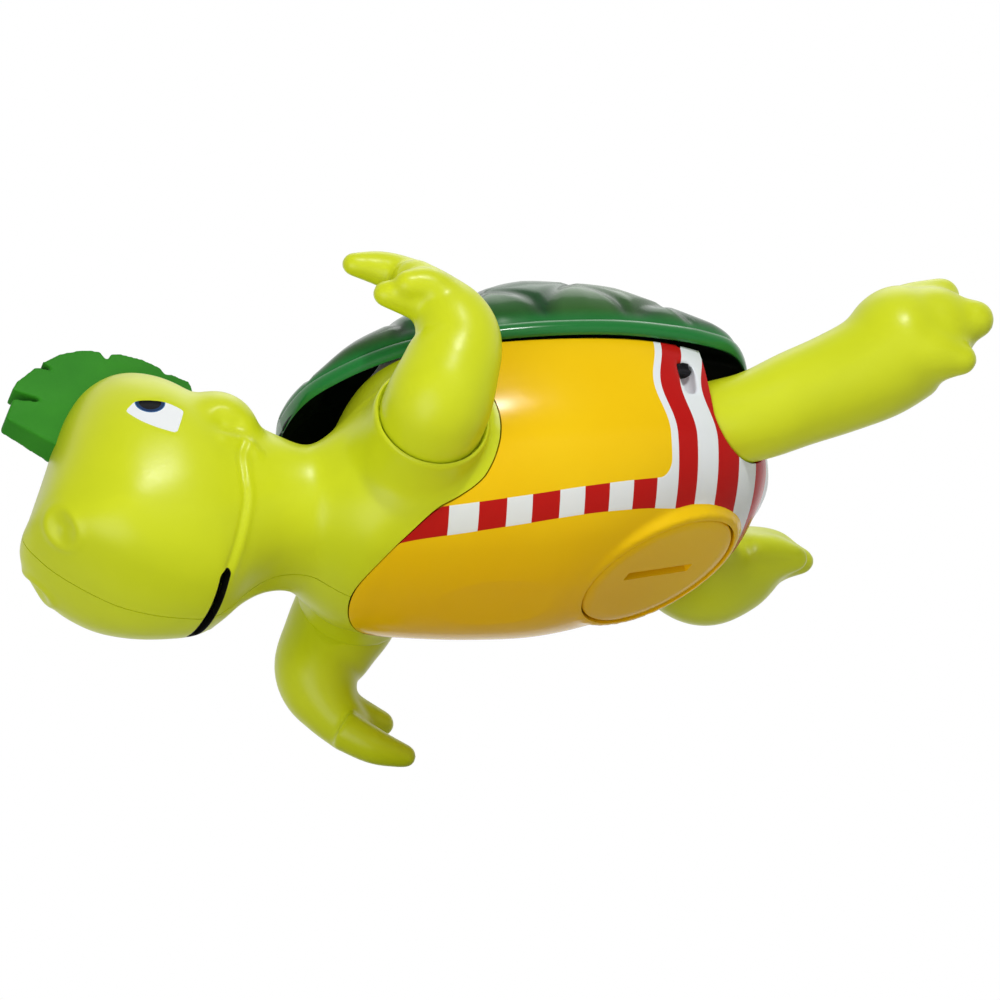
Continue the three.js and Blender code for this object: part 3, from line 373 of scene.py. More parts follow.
def relaxed(obj, rounds, weight=None):
    """Each vertex moved towards the mean of its neighbours, by a weight per vertex."""
    mesh = obj.data
    points = in_mm(mesh)
    ends = np.empty(len(mesh.edges) * 2, int)
    mesh.edges.foreach_get("vertices", ends)
    a, b = ends[0::2], ends[1::2]
    count = np.bincount(np.concatenate([a, b]), minlength=len(points)).astype(float)
    share = 0.5 * (np.ones(len(points)) if weight is None else weight(points))[:, None]
    for _ in range(rounds):
        total = np.stack([np.bincount(a, points[b, k], len(points))
                          + np.bincount(b, points[a, k], len(points)) for k in range(3)], 1)
        points = points + share * (total / np.maximum(count, 1)[:, None] - points)
    mesh.vertices.foreach_set("co", in_frame(points).ravel())
    mesh.update()
    return obj


def remeshed(obj, voxel, rounds):
    """The object's parts run into one skin, then smoothed."""
    modified(obj, "REMESH", mode="VOXEL", voxel_size=voxel * MM)
    return relaxed(obj, rounds)


def trimmed(obj, field, cap=False):
    """The mesh cut along field = 0, keeping what is above; cap closes flat openings."""
    edit = bmesh.new()
    edit.from_mesh(obj.data)
    edit.verts.ensure_lookup_table()
    value = field(in_mm(obj.data))
    layer = edit.verts.layers.float.new("field")
    for v, f in zip(edit.verts, value):
        v[layer] = f if abs(f) > 1e-5 else 1e-5
    crossing = [e for e in edit.edges if (e.verts[0][layer] > 0) != (e.verts[1][layer] > 0)]
    # Dicts keep their order, where sets would list the faces in another order each run
    cut = {}
    for e in crossing:
        a, b = e.verts
        share = a[layer] / (a[layer] - b[layer])
        _, fresh = bmesh.utils.edge_split(e, a, share)
        fresh[layer] = 0
        cut[fresh] = True
    for face in dict.fromkeys(f for v in cut for f in v.link_faces):
        on = [v for v in face.verts if v in cut]
        if len(on) == 2 and not any(on[1] in e.verts for e in on[0].link_edges if e in face.edges):
            bmesh.utils.face_split(face, on[0], on[1])
        elif len(on) == 4:
            bmesh.utils.face_split(face, on[0], on[1])
    lost = [f for f in edit.faces if min(v[layer] for v in f.verts) < -1e-9]
    bmesh.ops.delete(edit, geom=lost, context="FACES")
    if cap:
        bmesh.ops.holes_fill(edit, edges=[e for e in edit.edges if e.is_boundary], sides=0)
        bmesh.ops.recalc_face_normals(edit, faces=edit.faces)
    edit.verts.layers.float.remove(layer)
    edit.to_mesh(obj.data)
    edit.free()
    return obj


def copied(obj, name):
    """A second object with its own mesh."""
    made = bpy.data.objects.new(name, obj.data.copy())
    bpy.context.scene.collection.objects.link(made)
    return made


def chain_distance(points, spine):
    """Distance from points to a line of [x, y, z, radius], less its radius."""
    line = spline(spine, 40)
    least = np.full(len(points), 1e9)
    for (p, q) in zip(line[:-1], line[1:]):
        d = q[:3] - p[:3]
        t = np.clip((points - p[:3]) @ d / (d @ d), 0, 1)
        gap = np.linalg.norm(points - p[:3] - t[:, None] * d, axis=1) - (p[3] + t * (q[3] - p[3]))
        least = np.minimum(least, gap)
    return least


def sided(line, side, flip=1.0, lead=0.0, face=0.0):
    """A limb's line on one side, set out to a face, turned by lead and, with flip -1, by half a turn."""
    c, s = math.cos(math.radians(lead)), math.sin(math.radians(lead))
    return [[flip * (x * c + up * s), side * (out + face), flip * (up * c - x * s), r]
            for x, out, up, r in line]


DOOR_AXIS = (Matrix.Translation(DOOR_AT) @ Matrix.Rotation(math.radians(-DOOR_TILT), 4, "Y")
             @ Matrix.Rotation(math.radians(90), 4, "X"))
DOOR_INWARD = DOOR_AXIS.to_3x3() @ Vector((0, 1, 0))


def door_radius(p):
    """Distance from the door's axis, and depth along it inward from the door's outer face."""
    axis = np.array(DOOR_INWARD)
    off = p - np.array(DOOR_AT)
    depth = off @ axis
    return np.linalg.norm(off - depth[:, None] * axis, axis=1), depth


def srgb(code):
    """A linear colour from an sRGB hex value."""
    parts = [int(code[i:i + 2], 16) / 255 for i in (0, 2, 4)]
    return [c / 12.92 if c <= 0.04045 else ((c + 0.055) / 1.055) ** 2.4 for c in parts] + [1.0]


def per(size):
    """The scale of a pattern whose features are this many millimetres across."""
    return 1 / (size * MM)


def add(tree, kind, links=None, stops=(), steps=False, **settings):
    """A node with its settings; links gives an input a value, a socket or another node's first output."""
    node = tree.nodes.new(kind)
    for key, value in settings.items():
        setattr(node, key, value)
    for key, value in (links or {}).items():
        if isinstance(value, bpy.types.Node):
            value = value.outputs[0]
        if isinstance(value, bpy.types.NodeSocket):
            tree.links.new(value, node.inputs[key])
        else:
            node.inputs[key].default_value = value
    if stops:
        ramp = node.color_ramp
        ramp.interpolation = "CONSTANT" if steps else "LINEAR"
        ramp.elements.remove(ramp.elements[1])
        ramp.elements[0].position, ramp.elements[0].color = stops[0]
        for at, colour in stops[1:]:
            ramp.elements.new(at).color = colour
    return node


def material(name, **constants):
    """A new material, its tree, its shader with these constants, and the piece's own coordinates."""
    made = bpy.data.materials.new(name)
    made.use_nodes = True
    tree = made.node_tree
    shader = tree.nodes["Principled BSDF"]
    for key, value in constants.items():
        shader.inputs[key.replace("_", " ")].default_value = value
    return made, tree, shader, add(tree, "ShaderNodeTexCoord").outputs["Object"]


def feed(tree, shader, **sources):
    """Sockets linked to the shader's inputs of these names."""
    for key, source in sources.items():
        tree.links.new(source, shader.inputs[key.replace("_", " ")])


# Soft PVC from a spark-eroded mould: an even fine grain spreads the highlight to a satin glow and the
# pigment drifts a little; the eyes are pad-printed on it in glossier ink, and the sound slot's walls are
# painted near-black as shade. The grain is drawn coarser than it is, to show.
def moulded_lime():
    made, tree, shader, place = material("moulded_lime_pvc", IOR=1.53, Specular_IOR_Level=0.32)
    drift = add(tree, "ShaderNodeTexNoise", {"Vector": place, "Scale": per(42), "Detail": 3.0})
    body = add(tree, "ShaderNodeValToRGB", {"Fac": drift}, [(0.3, srgb("CCD71A")), (0.7, srgb("D7E120"))])
    grain = add(tree, "ShaderNodeTexNoise", {"Vector": place, "Scale": per(0.8), "Detail": 2.0})
    bump = add(tree, "ShaderNodeBump", {"Height": grain, "Strength": 0.25, "Distance": 0.05 * MM})
    # A piece that has none of these numbers reads them as zero, which is neither inked nor painted with the slot's
    # shade
    outline = add(tree, "ShaderNodeAttribute", attribute_name="eye").outputs["Fac"]
    reach = add(tree, "ShaderNodeAttribute", attribute_name="iris").outputs["Fac"]
    inked = add(tree, "ShaderNodeMath", {0: outline, 1: -0.01}, operation="LESS_THAN")
    ring = add(tree, "ShaderNodeMath", {0: reach, 1: 1 / IRIS_SCALE}, operation="MULTIPLY")
    ink = add(tree, "ShaderNodeValToRGB", {"Fac": ring}, [
        (0, srgb("050608")), (PUPIL_R / IRIS_SCALE, srgb("16345E")),
        ((IRIS_R - IRIS_RIM) / IRIS_SCALE, srgb("3E74AE")), (IRIS_R / IRIS_SCALE, srgb("F2F5F8"))],
        steps=True)
    eyed = add(tree, "ShaderNodeMix", {0: inked, 6: body, 7: ink}, data_type="RGBA").outputs[2]
    # Painted shade: the walls of the sound slot are coloured near-black as the shade inside it
    edge = add(tree, "ShaderNodeAttribute", attribute_name="skin").outputs["Fac"]
    slot = add(tree, "ShaderNodeMath", {0: edge, 1: -0.15}, operation="LESS_THAN")
    colour = add(tree, "ShaderNodeMix", {0: slot, 6: eyed, 7: srgb("0B0C0A")}, data_type="RGBA").outputs[2]
    polish = add(tree, "ShaderNodeMapRange", {"Value": grain, "To Min": 0.3, "To Max": 0.38})
    rough = add(tree, "ShaderNodeMix", {0: inked, 2: polish, 3: 0.16}, data_type="FLOAT")
    feed(tree, shader, Base_Color=colour, Roughness=rough.outputs[0], Normal=bump.outputs[0])
    return made


# Glossy ABS off a polished mould: sharp highlights over a faint orange peel; the stripes are sprayed
# through a mask, so their paint is a shade duller and stands a hair proud of the plastic.
def painted_yellow():
    made, tree, shader, place = material("polished_yellow_abs", IOR=1.54, Specular_IOR_Level=0.1)
    drift = add(tree, "ShaderNodeTexNoise", {"Vector": place, "Scale": per(60), "Detail": 2.0})
    body = add(tree, "ShaderNodeValToRGB", {"Fac": drift}, [(0.3, srgb("F4C40E")), (0.7, srgb("F8CE16"))])
    along = add(tree, "ShaderNodeAttribute", attribute_name="stripe").outputs["Fac"]
    start = RED[0][0]
    share = add(tree, "ShaderNodeMapRange", {"Value": along, "From Min": start, "From Max": STRIPE_END})
    inks = (srgb("BE1A18"), srgb("E9EEF3"))
    stops = [((at - start) / (STRIPE_END - start), ink) for pair in RED for at, ink in zip(pair, inks)]
    paint = add(tree, "ShaderNodeValToRGB", {"Fac": share}, stops, steps=True)
    edge = add(tree, "ShaderNodeAttribute", attribute_name="bare").outputs["Fac"]
    painted = add(tree, "ShaderNodeMath", {0: edge, 1: 0.001}, operation="GREATER_THAN")
    colour = add(tree, "ShaderNodeMix", {0: painted, 6: body, 7: paint}, data_type="RGBA").outputs[2]
    peel = add(tree, "ShaderNodeTexNoise", {"Vector": place, "Scale": per(7), "Detail": 1.0})
    polish = add(tree, "ShaderNodeMapRange", {"Value": peel, "To Min": 0.14, "To Max": 0.2})
    rough = add(tree, "ShaderNodeMix", {0: painted, 2: polish, 3: 0.24}, data_type="FLOAT")
    film = add(tree, "ShaderNodeMapRange", {"Value": edge, "From Max": 0.3})
    skin_bump = add(tree, "ShaderNodeBump", {"Height": peel, "Strength": 0.15, "Distance": 0.12 * MM})
    bump = add(tree, "ShaderNodeBump", {"Height": film, "Strength": 0.5, "Distance": 0.06 * MM,
                                        "Normal": skin_bump})
    feed(tree, shader, Base_Color=colour, Roughness=rough.outputs[0], Normal=bump.outputs[0])
    return made


# Glossy ABS, sprayed plate by plate in greens that differ a little, with painted shade darkening the grooves.
def shell_green():
    made, tree, shader, place = material("sprayed_green_abs", IOR=1.52, Specular_IOR_Level=0.25)
    tone = add(tree, "ShaderNodeAttribute", attribute_name="tone").outputs["Fac"]
    border = add(tree, "ShaderNodeAttribute", attribute_name="border").outputs["Fac"]
    dome = add(tree, "ShaderNodeAttribute", attribute_name="dome").outputs["Fac"]
    plate = add(tree, "ShaderNodeValToRGB", {"Fac": tone}, [
        (0, srgb("14481F")), (0.45, srgb("1C5A26")), (0.8, srgb("34602C")), (1, srgb("3F6631"))])
    # Painted shade: the plates darken towards their borders, in the grooves
    shade = add(tree, "ShaderNodeMapRange", {"Value": border, "From Max": 0.12, "To Min": 0.75,
                                             "To Max": 0.0})
    groove_painted_shade = add(tree, "ShaderNodeMix", {0: shade, 6: plate.outputs[0], 7: srgb("0D3416")},
                  data_type="RGBA").outputs[2]
    colour = add(tree, "ShaderNodeMix", {0: dome, 6: srgb("267A3A"), 7: groove_painted_shade},
                 data_type="RGBA").outputs[2]
    peel = add(tree, "ShaderNodeTexNoise", {"Vector": place, "Scale": per(5), "Detail": 2.0})
    polish = add(tree, "ShaderNodeMapRange", {"Value": peel, "To Min": 0.13, "To Max": 0.24})
    bump = add(tree, "ShaderNodeBump", {"Height": peel, "Strength": 0.2, "Distance": 0.12 * MM})
    feed(tree, shader, Base_Color=colour, Roughness=polish.outputs[0], Normal=bump.outputs[0])
    return made


# The unpolished inside of the shell, painted near-black as the shade under it, with a blasted surface that gives
# almost no highlight.
def shell_inside():
    made, tree, shader, place = material("shell_inside_painted_shade", IOR=1.52, Specular_IOR_Level=0.1)
    blast = add(tree, "ShaderNodeTexNoise", {"Vector": place, "Scale": per(1.2), "Detail": 3.0})
    # Painted shade: near-black stands in for the shade under the shell
    colour = add(tree, "ShaderNodeValToRGB", {"Fac": blast}, [(0.3, srgb("0A140C")), (0.7, srgb("14261A"))])
    rough = add(tree, "ShaderNodeMapRange", {"Value": blast, "To Min": 0.45, "To Max": 0.65})
    bump = add(tree, "ShaderNodeBump", {"Height": blast, "Strength": 0.3, "Distance": 0.08 * MM})
    feed(tree, shader, Base_Color=colour.outputs[0], Roughness=rough.outputs[0], Normal=bump.outputs[0])
    return made


# Satin PVC like the skin, in dark green: an even glow with no sharp highlight.
def crest_green():
    made, tree, shader, place = material("moulded_green_pvc", IOR=1.53, Specular_IOR_Level=0.15)
    drift = add(tree, "ShaderNodeTexNoise", {"Vector": place, "Scale": per(18), "Detail": 3.0})
    colour = add(tree, "ShaderNodeValToRGB", {"Fac": drift}, [(0.3, srgb("2B8219")), (0.7, srgb("348D1E"))])
    grain = add(tree, "ShaderNodeTexNoise", {"Vector": place, "Scale": per(0.8), "Detail": 2.0})
    rough = add(tree, "ShaderNodeMapRange", {"Value": grain, "To Min": 0.5, "To Max": 0.62})
    bump = add(tree, "ShaderNodeBump", {"Height": grain, "Strength": 0.25, "Distance": 0.05 * MM})
    feed(tree, shader, Base_Color=colour.outputs[0], Roughness=rough.outputs[0], Normal=bump.outputs[0])
    return made


# Natural acetal: waxy off-white, a little cloudy, with a soft sheen.
def natural_acetal():
    made, tree, shader, place = material("moulded_natural_acetal", IOR=1.48, Subsurface_Weight=0.1,
                                         Subsurface_Scale=MM)
    cloud = add(tree, "ShaderNodeTexNoise", {"Vector": place, "Scale": per(6), "Detail": 3.0})
    colour = add(tree, "ShaderNodeValToRGB", {"Fac": cloud}, [(0.3, srgb("DEDDD2")), (0.7, srgb("EDECE4"))])
    rough = add(tree, "ShaderNodeMapRange", {"Value": cloud, "To Min": 0.3, "To Max": 0.42})
    feed(tree, shader, Base_Color=colour.outputs[0], Roughness=rough.outputs[0])
    return made


# Black ABS and pressed paper: a dull, slightly fibrous black.
def black_plastic():
    made, tree, shader, place = material("moulded_black_abs", IOR=1.54)
    fibre = add(tree, "ShaderNodeTexNoise", {"Vector": place, "Scale": per(1.5), "Detail": 4.0})
    colour = add(tree, "ShaderNodeValToRGB", {"Fac": fibre}, [(0.3, srgb("141416")), (0.7, srgb("202124"))])
    rough = add(tree, "ShaderNodeMapRange", {"Value": fibre, "To Min": 0.45, "To Max": 0.6})
    bump = add(tree, "ShaderNodeBump", {"Height": fibre, "Strength": 0.3, "Distance": 0.06 * MM})
    feed(tree, shader, Base_Color=colour.outputs[0], Roughness=rough.outputs[0], Normal=bump.outputs[0])
    return made


# Nitrile rubber: matt charcoal with a dusty bloom.
def nitrile():
    made, tree, shader, place = material("pressed_nitrile_rubber", IOR=1.52)
    bloom = add(tree, "ShaderNodeTexNoise", {"Vector": place, "Scale": per(4), "Detail": 4.0})
    colour = add(tree, "ShaderNodeValToRGB", {"Fac": bloom},
                 [(0.35, srgb("1B1B1C")), (0.75, srgb("2E2E2E"))])
    rough = add(tree, "ShaderNodeMapRange", {"Value": bloom, "To Min": 0.65, "To Max": 0.8})
    feed(tree, shader, Base_Color=colour.outputs[0], Roughness=rough.outputs[0])
    return made


# Nickel-plated steel, steel painted near-black as the shade in the screw pockets, and turned brass: fine lines
# round the shaft's direction, as a lathe leaves them, break the reflection. They are drawn coarser than they are,
# to show.
def drawn_metal(name, low, high):
    made, tree, shader, place = material(name, Metallic=1.0)
    stretched = add(tree, "ShaderNodeMapping", {"Vector": place, "Scale": (1, 9, 1)})
    line = add(tree, "ShaderNodeTexNoise", {"Vector": stretched, "Scale": per(1.6), "Detail": 3.0})
    colour = add(tree, "ShaderNodeValToRGB", {"Fac": line}, [(0.25, srgb(low)), (0.75, srgb(high))])
    rough = add(tree, "ShaderNodeMapRange", {"Value": line, "To Min": 0.2, "To Max": 0.36})
    bump = add(tree, "ShaderNodeBump", {"Height": line, "Strength": 0.2, "Distance": 0.02 * MM})
    feed(tree, shader, Base_Color=colour.outputs[0], Roughness=rough.outputs[0], Normal=bump.outputs[0])
    return made


# Solder mask on glass laminate: glossy green, lighter over the copper tracks that it covers.
def solder_mask():
    made, tree, shader, place = material("solder_mask_laminate", IOR=1.55)
    track = add(tree, "ShaderNodeTexBrick", {
        "Vector": place, "Color1": srgb("0E4A24"), "Color2": srgb("125A2C"), "Mortar": srgb("2E8A4C"),
        "Scale": per(6), "Mortar Size": 0.06})
    film = add(tree, "ShaderNodeTexNoise", {"Vector": place, "Scale": per(3), "Detail": 2.0})
    rough = add(tree, "ShaderNodeMapRange", {"Value": film, "To Min": 0.18, "To Max": 0.32})
    bump = add(tree, "ShaderNodeBump", {"Height": track.outputs["Fac"], "Strength": 0.4,
                                        "Distance": 0.04 * MM})
    feed(tree, shader, Base_Color=track.outputs["Color"], Roughness=rough.outputs[0],
         Normal=bump.outputs[0])
    return made


# Printed steel jacket of a dry cell: grey lacquer with a darker collar at one end, over bright metal.
def cell_jacket():
    made, tree, shader, place = material("lacquered_cell_jacket", IOR=1.5, Metallic=0.6)
    depth = add(tree, "ShaderNodeVectorMath", {0: place, 1: DOOR_INWARD}, operation="DOT_PRODUCT")
    start = (SHAFT + Vector(DOOR_AT) * MM).dot(DOOR_INWARD)
    share = add(tree, "ShaderNodeMapRange", {"Value": depth.outputs["Value"], "From Min": start,
                                             "From Max": start + CELLS_DEEP * MM})
    band = add(tree, "ShaderNodeValToRGB", {"Fac": share},
               [(0, srgb("8C8F94")), (0.72, srgb("3A3D42"))], steps=True)
    rub = add(tree, "ShaderNodeTexNoise", {"Vector": place, "Scale": per(5), "Detail": 4.0})
    colour = add(tree, "ShaderNodeMix", {0: 0.25, 6: band.outputs[0], 7: rub.outputs["Color"]},
                 data_type="RGBA", blend_type="SOFT_LIGHT").outputs[2]
    rough = add(tree, "ShaderNodeMapRange", {"Value": rub, "To Min": 0.25, "To Max": 0.4})
    feed(tree, shader, Base_Color=colour, Roughness=rough.outputs[0])
    return made


def flare_radius(y):
    """The shoulder's radius at a distance from the middle plane."""
    inward = SHOULDER_HALF - np.abs(y)
    xs, rs = zip(*FLARE)
    return SHOULDER_R + np.interp(inward, xs, rs)


def body_skin():
    """The whole body as one smooth skin, from which the lime mouldings and the belly tub are cut."""
    parts = [body_loft("head", HEAD, HEAD_SQUARE)]
    torso = body_loft("torso", [[*row, TORSO_SQUARE] for row in TORSO], TORSO_SQUARE, rings=120, around=120)
    low, high = POCKET_Z
    pocket = [[0, low], [POCKET_R - POCKET_TAPER, low], [POCKET_R, high - POCKET_STRAIGHT],
              [POCKET_R, high], [0, high]]
    ball = [[math.sin(a), -math.cos(a)] for a in np.linspace(0, math.pi, 33)]
    for side in (-1, 1):
        place = Matrix.Translation((POCKET_X, side * POCKET_Y, 0))
        bore = lathe("bore", pocket, place @ Matrix.Rotation(math.radians(90), 4, "X"), around=32)
        modified(torso, "BOOLEAN", operation="DIFFERENCE", object=bore, solver="EXACT")
        bpy.data.objects.remove(bore)
        place = Matrix.Translation((CHEEK[0], side * CHEEK[1], CHEEK[2]))
        parts.append(lathe("cheek", ball, place @ Matrix.Diagonal((*CHEEK_HALF, 1))))
    flare = [[SHOULDER_R + r, SHOULDER_HALF - inward] for inward, r in FLARE]
    profile = [[0, SHOULDER_HALF], *flare, *[[r, -y] for r, y in flare[::-1]], [0, -SHOULDER_HALF]]
    parts.append(lathe("shoulders", profile))
    ring = DOOR_R + DOOR_RING
    boss = [[0, BOSS_FACE], [ring - BOSS_EDGE, BOSS_FACE], [ring, BOSS_FACE + BOSS_EDGE], [ring, BOSS_DEEP],
            [0, BOSS_DEEP]]
    parts.append(lathe("boss", boss, DOOR_AXIS))
    body = joined("body", parts + [torso])

    def soft(p):
        ahead = np.clip((NECK_END - p[:, 0]) / NECK_FADE, 0, 1)
        past = np.hypot(p[:, 0], p[:, 2]) - flare_radius(p[:, 1]) - FOLD_PAST
        fold = np.clip(1 - np.abs(past) / FOLD_WIDTH, 0, 1) * (p[:, 0] < FOLD_REAR)
        fold *= np.clip((FOLD_END - np.abs(p[:, 1])) / FOLD_FADE, 0, 1)
        return np.maximum(ahead, fold)

    remeshed(body, BODY_VOXEL, BODY_ROUNDS)
    relaxed(body, SOFT_ROUNDS, soft)
    points = in_mm(body.data)
    sunk = (points[:, 2] < BELLY_FLAT) & (points[:, 0] > FLAT_FRONT)
    points[sunk, 2] = BELLY_FLAT
    body.data.vertices.foreach_set("co", in_frame(points).ravel())
    return body


def vertex_normals(mesh):
    """A mesh's vertex normals as rows."""
    flat = np.empty(len(mesh.vertices) * 3)
    mesh.vertices.foreach_get("normal", flat)
    return flat.reshape(-1, 3)


def folded(points):
    """The points with one half of the toy laid over the other: [x, outward, z]."""
    return np.stack([points[:, 0], np.abs(points[:, 1]), points[:, 2]], 1)


def eye_field(p):
    """Distance outside the outline of the eye on either side of the head."""
    corners = np.array(EYE)
    way = np.roll(corners, -1, 0) - corners
    normal = np.stack([-way[:, 1], way[:, 0]], 1) / np.linalg.norm(way, axis=1)[:, None]
    off = p[:, None, [0, 2]] - corners
    rounded = np.logaddexp.reduce(EYE_CORNER * np.sum(off * normal, 2), axis=1) / EYE_CORNER
    return np.where(np.abs(p[:, 1]) > EYE_OUT, rounded, UNCUT)


def face_details(body):
    """Creases pressed in and folds raised on the head, with nostrils, and the eyes sunk a little."""
    points, normals = in_mm(body.data), vertex_normals(body.data)
    rise, flat = np.zeros(len(points)), points * [1, 0, 1]
    for line, width, height in FACE_LINES:
        gap = chain_distance(flat, [[x, 0, z, 0.0] for x, z in line])
        rise += height * np.exp(-(gap / width) ** 2) * (np.abs(points[:, 1]) > FACE_OUT)
    nose = np.linalg.norm((folded(points) - np.array(NOSTRIL)) * [1, 1, NOSTRIL_TALL], axis=1)
    (out, width, height), (inset, depth) = NOSTRIL_RING, NOSTRIL_DENT
    rise += height * np.exp(-((nose - NOSTRIL_R - out) / width) ** 2)
    rise -= depth * np.exp(-(nose / (NOSTRIL_R - inset)) ** 2)
    rise -= EYE_SUNK * np.clip(0.5 - eye_field(points) / EYE_EDGE, 0, 1)
    body.data.vertices.foreach_set("co", in_frame(points + normals * rise[:, None]).ravel())
    body.data.update()


def mouth_field(p):
    """Above zero outside the mouth slot, which crosses the underside of the head."""
    start, end = np.array(MOUTH)
    length = np.linalg.norm(end - start)
    along = (end - start) / length
    off = p[:, :2] - start
    t = np.clip(off @ along, 0, length)
    gap = np.linalg.norm(off - t[:, None] * along, axis=1) - MOUTH_HALF
    return np.where(p[:, 2] < MOUTH_Z, gap, UNCUT)


def belly_field(p):
    """Above zero on the lime side of the seam: ahead of the belly's edge or inside a shoulder's collar."""
    edge = BELLY_FRONT + BELLY_BOW * (p[:, 1] / SHOULDER_HALF) ** 2
    edge = np.maximum(edge, np.interp(p[:, 2], DECK_RISE, (BELLY_FRONT, DECK_LIME)))
    reach = np.hypot(p[:, 0], p[:, 2])
    beyond = np.interp(np.abs(p[:, 1]), *zip(*COLLAR))
    collar = np.where(np.abs(p[:, 1]) > COLLAR_FROM, flare_radius(p[:, 1]) + beyond - reach, NO_COLLAR)
    return np.logaddexp((edge - p[:, 0]) / SEAM_TURN, collar / SEAM_TURN) * SEAM_TURN


def socket_field(p):
    """Above zero outside the sockets in the shoulders' ends, in which the arms turn."""
    inside = np.abs(p[:, 1]) > SHOULDER_HALF - SOCKET_REACH
    return np.where(inside, np.hypot(p[:, 0], p[:, 2]) - SOCKET_R, UNCUT)


def wall(obj, thickness, **settings):
    """The open skin given a wall on its inside."""
    return modified(obj, "SOLIDIFY", thickness=thickness * MM, offset=-1, use_even_offset=False,
                    use_quality_normals=True, **settings)


def under_rim(p):
    """Above zero below the shell's rim, and on all of the head."""
    return np.where(p[:, 0] > NECK_X, RIM_Z - RIM_GAP - p[:, 2], UNCUT)


body = body_skin()
face_details(body)
lime = trimmed(copied(body, "lime"), lambda p: belly_field(p) - SEAM / 2)
trimmed(lime, under_rim)
trimmed(lime, mouth_field)
trimmed(lime, socket_field)
left_skin = trimmed(copied(lime, "left_skin_moulding"), lambda p: -p[:, 1] - SEAM / 2)
right_skin = trimmed(lime, lambda p: p[:, 1] - SEAM / 2)
right_skin.name = "right_skin_moulding"
wall(left_skin, SKIN_WALL)
wall(right_skin, SKIN_WALL)


def leg_hole(line, side):
    """A field above zero outside a leg's notch, which is open upward to the shell."""
    lifts = range(0, NOTCH_RISE, NOTCH_STEP)

    def field(p):
        gaps = [chain_distance(p - np.array([0, 0, up]), sided(line, side)) for up in lifts]
        notch = np.maximum(np.min(gaps, 0) - LEG_GAP, NOTCH_X - p[:, 0])
        return np.where(side * p[:, 1] > 0, notch, UNCUT)
    return field


def door_hole(p):
    """Above zero outside the hole that the door closes."""
    radius, depth = door_radius(p)
    return np.where(depth < DOOR_HOLE_DEEP, radius - DOOR_R - DOOR_GAP, UNCUT)


tub = trimmed(body, lambda p: -belly_field(p) - SEAM / 2)
tub.name = "belly_tub"
for field in (under_rim, leg_hole(LEFT_LEG, -1), leg_hole(RIGHT_LEG, 1), door_hole):
    trimmed(tub, field)
wall(tub, TUB_WALL)


def arm(name, side, flip, lead):
    """An arm with its fingers, cut flat at the floor of its socket."""
    parts = [limb("arm", sided(ARM, side, flip, lead, SHOULDER_HALF))]
    parts += [limb("finger", sided(f, side, flip, lead, SHOULDER_HALF), around=28, rings=24)
              for f in FINGERS]
    made = remeshed(joined(name, parts), ARM_VOXEL, ARM_ROUNDS)
    return trimmed(made, lambda p: side * p[:, 1] - SHOULDER_HALF + SOCKET_DEPTH, cap=True)


def leg(name, line, toes, side):
    """A leg with its toes, from inside the body."""
    parts = [limb("leg", sided(line, side))]
    parts += [limb("toe", sided(t, side), around=28, rings=24) for t in toes]
    return remeshed(joined(name, parts), LEG_VOXEL, LEG_ROUNDS)


left_arm = arm("left_arm_moulding", -1, 1, 0)
right_arm = arm("right_arm_moulding", 1, -1, RIGHT_ARM_LEAD)
left_leg = leg("left_leg_moulding", LEFT_LEG, LEFT_TOES, -1)
right_leg = leg("right_leg_moulding", RIGHT_LEG, RIGHT_TOES, 1)


def crest():
    """A notched plate, thicker at its root than at its edge."""
    half = [CREST_ROOT if z < CREST_ROOT_Z else CREST_TIP for _, z in CREST]
    near, far = ([[x, side * out, z] for (x, z), out in zip(CREST, half)] for side in (-1, 1))
    made = modified(prism("crest_moulding", near, far), "TRIANGULATE")
    return remeshed(made, CREST_VOXEL, CREST_ROUNDS)


hair = crest()


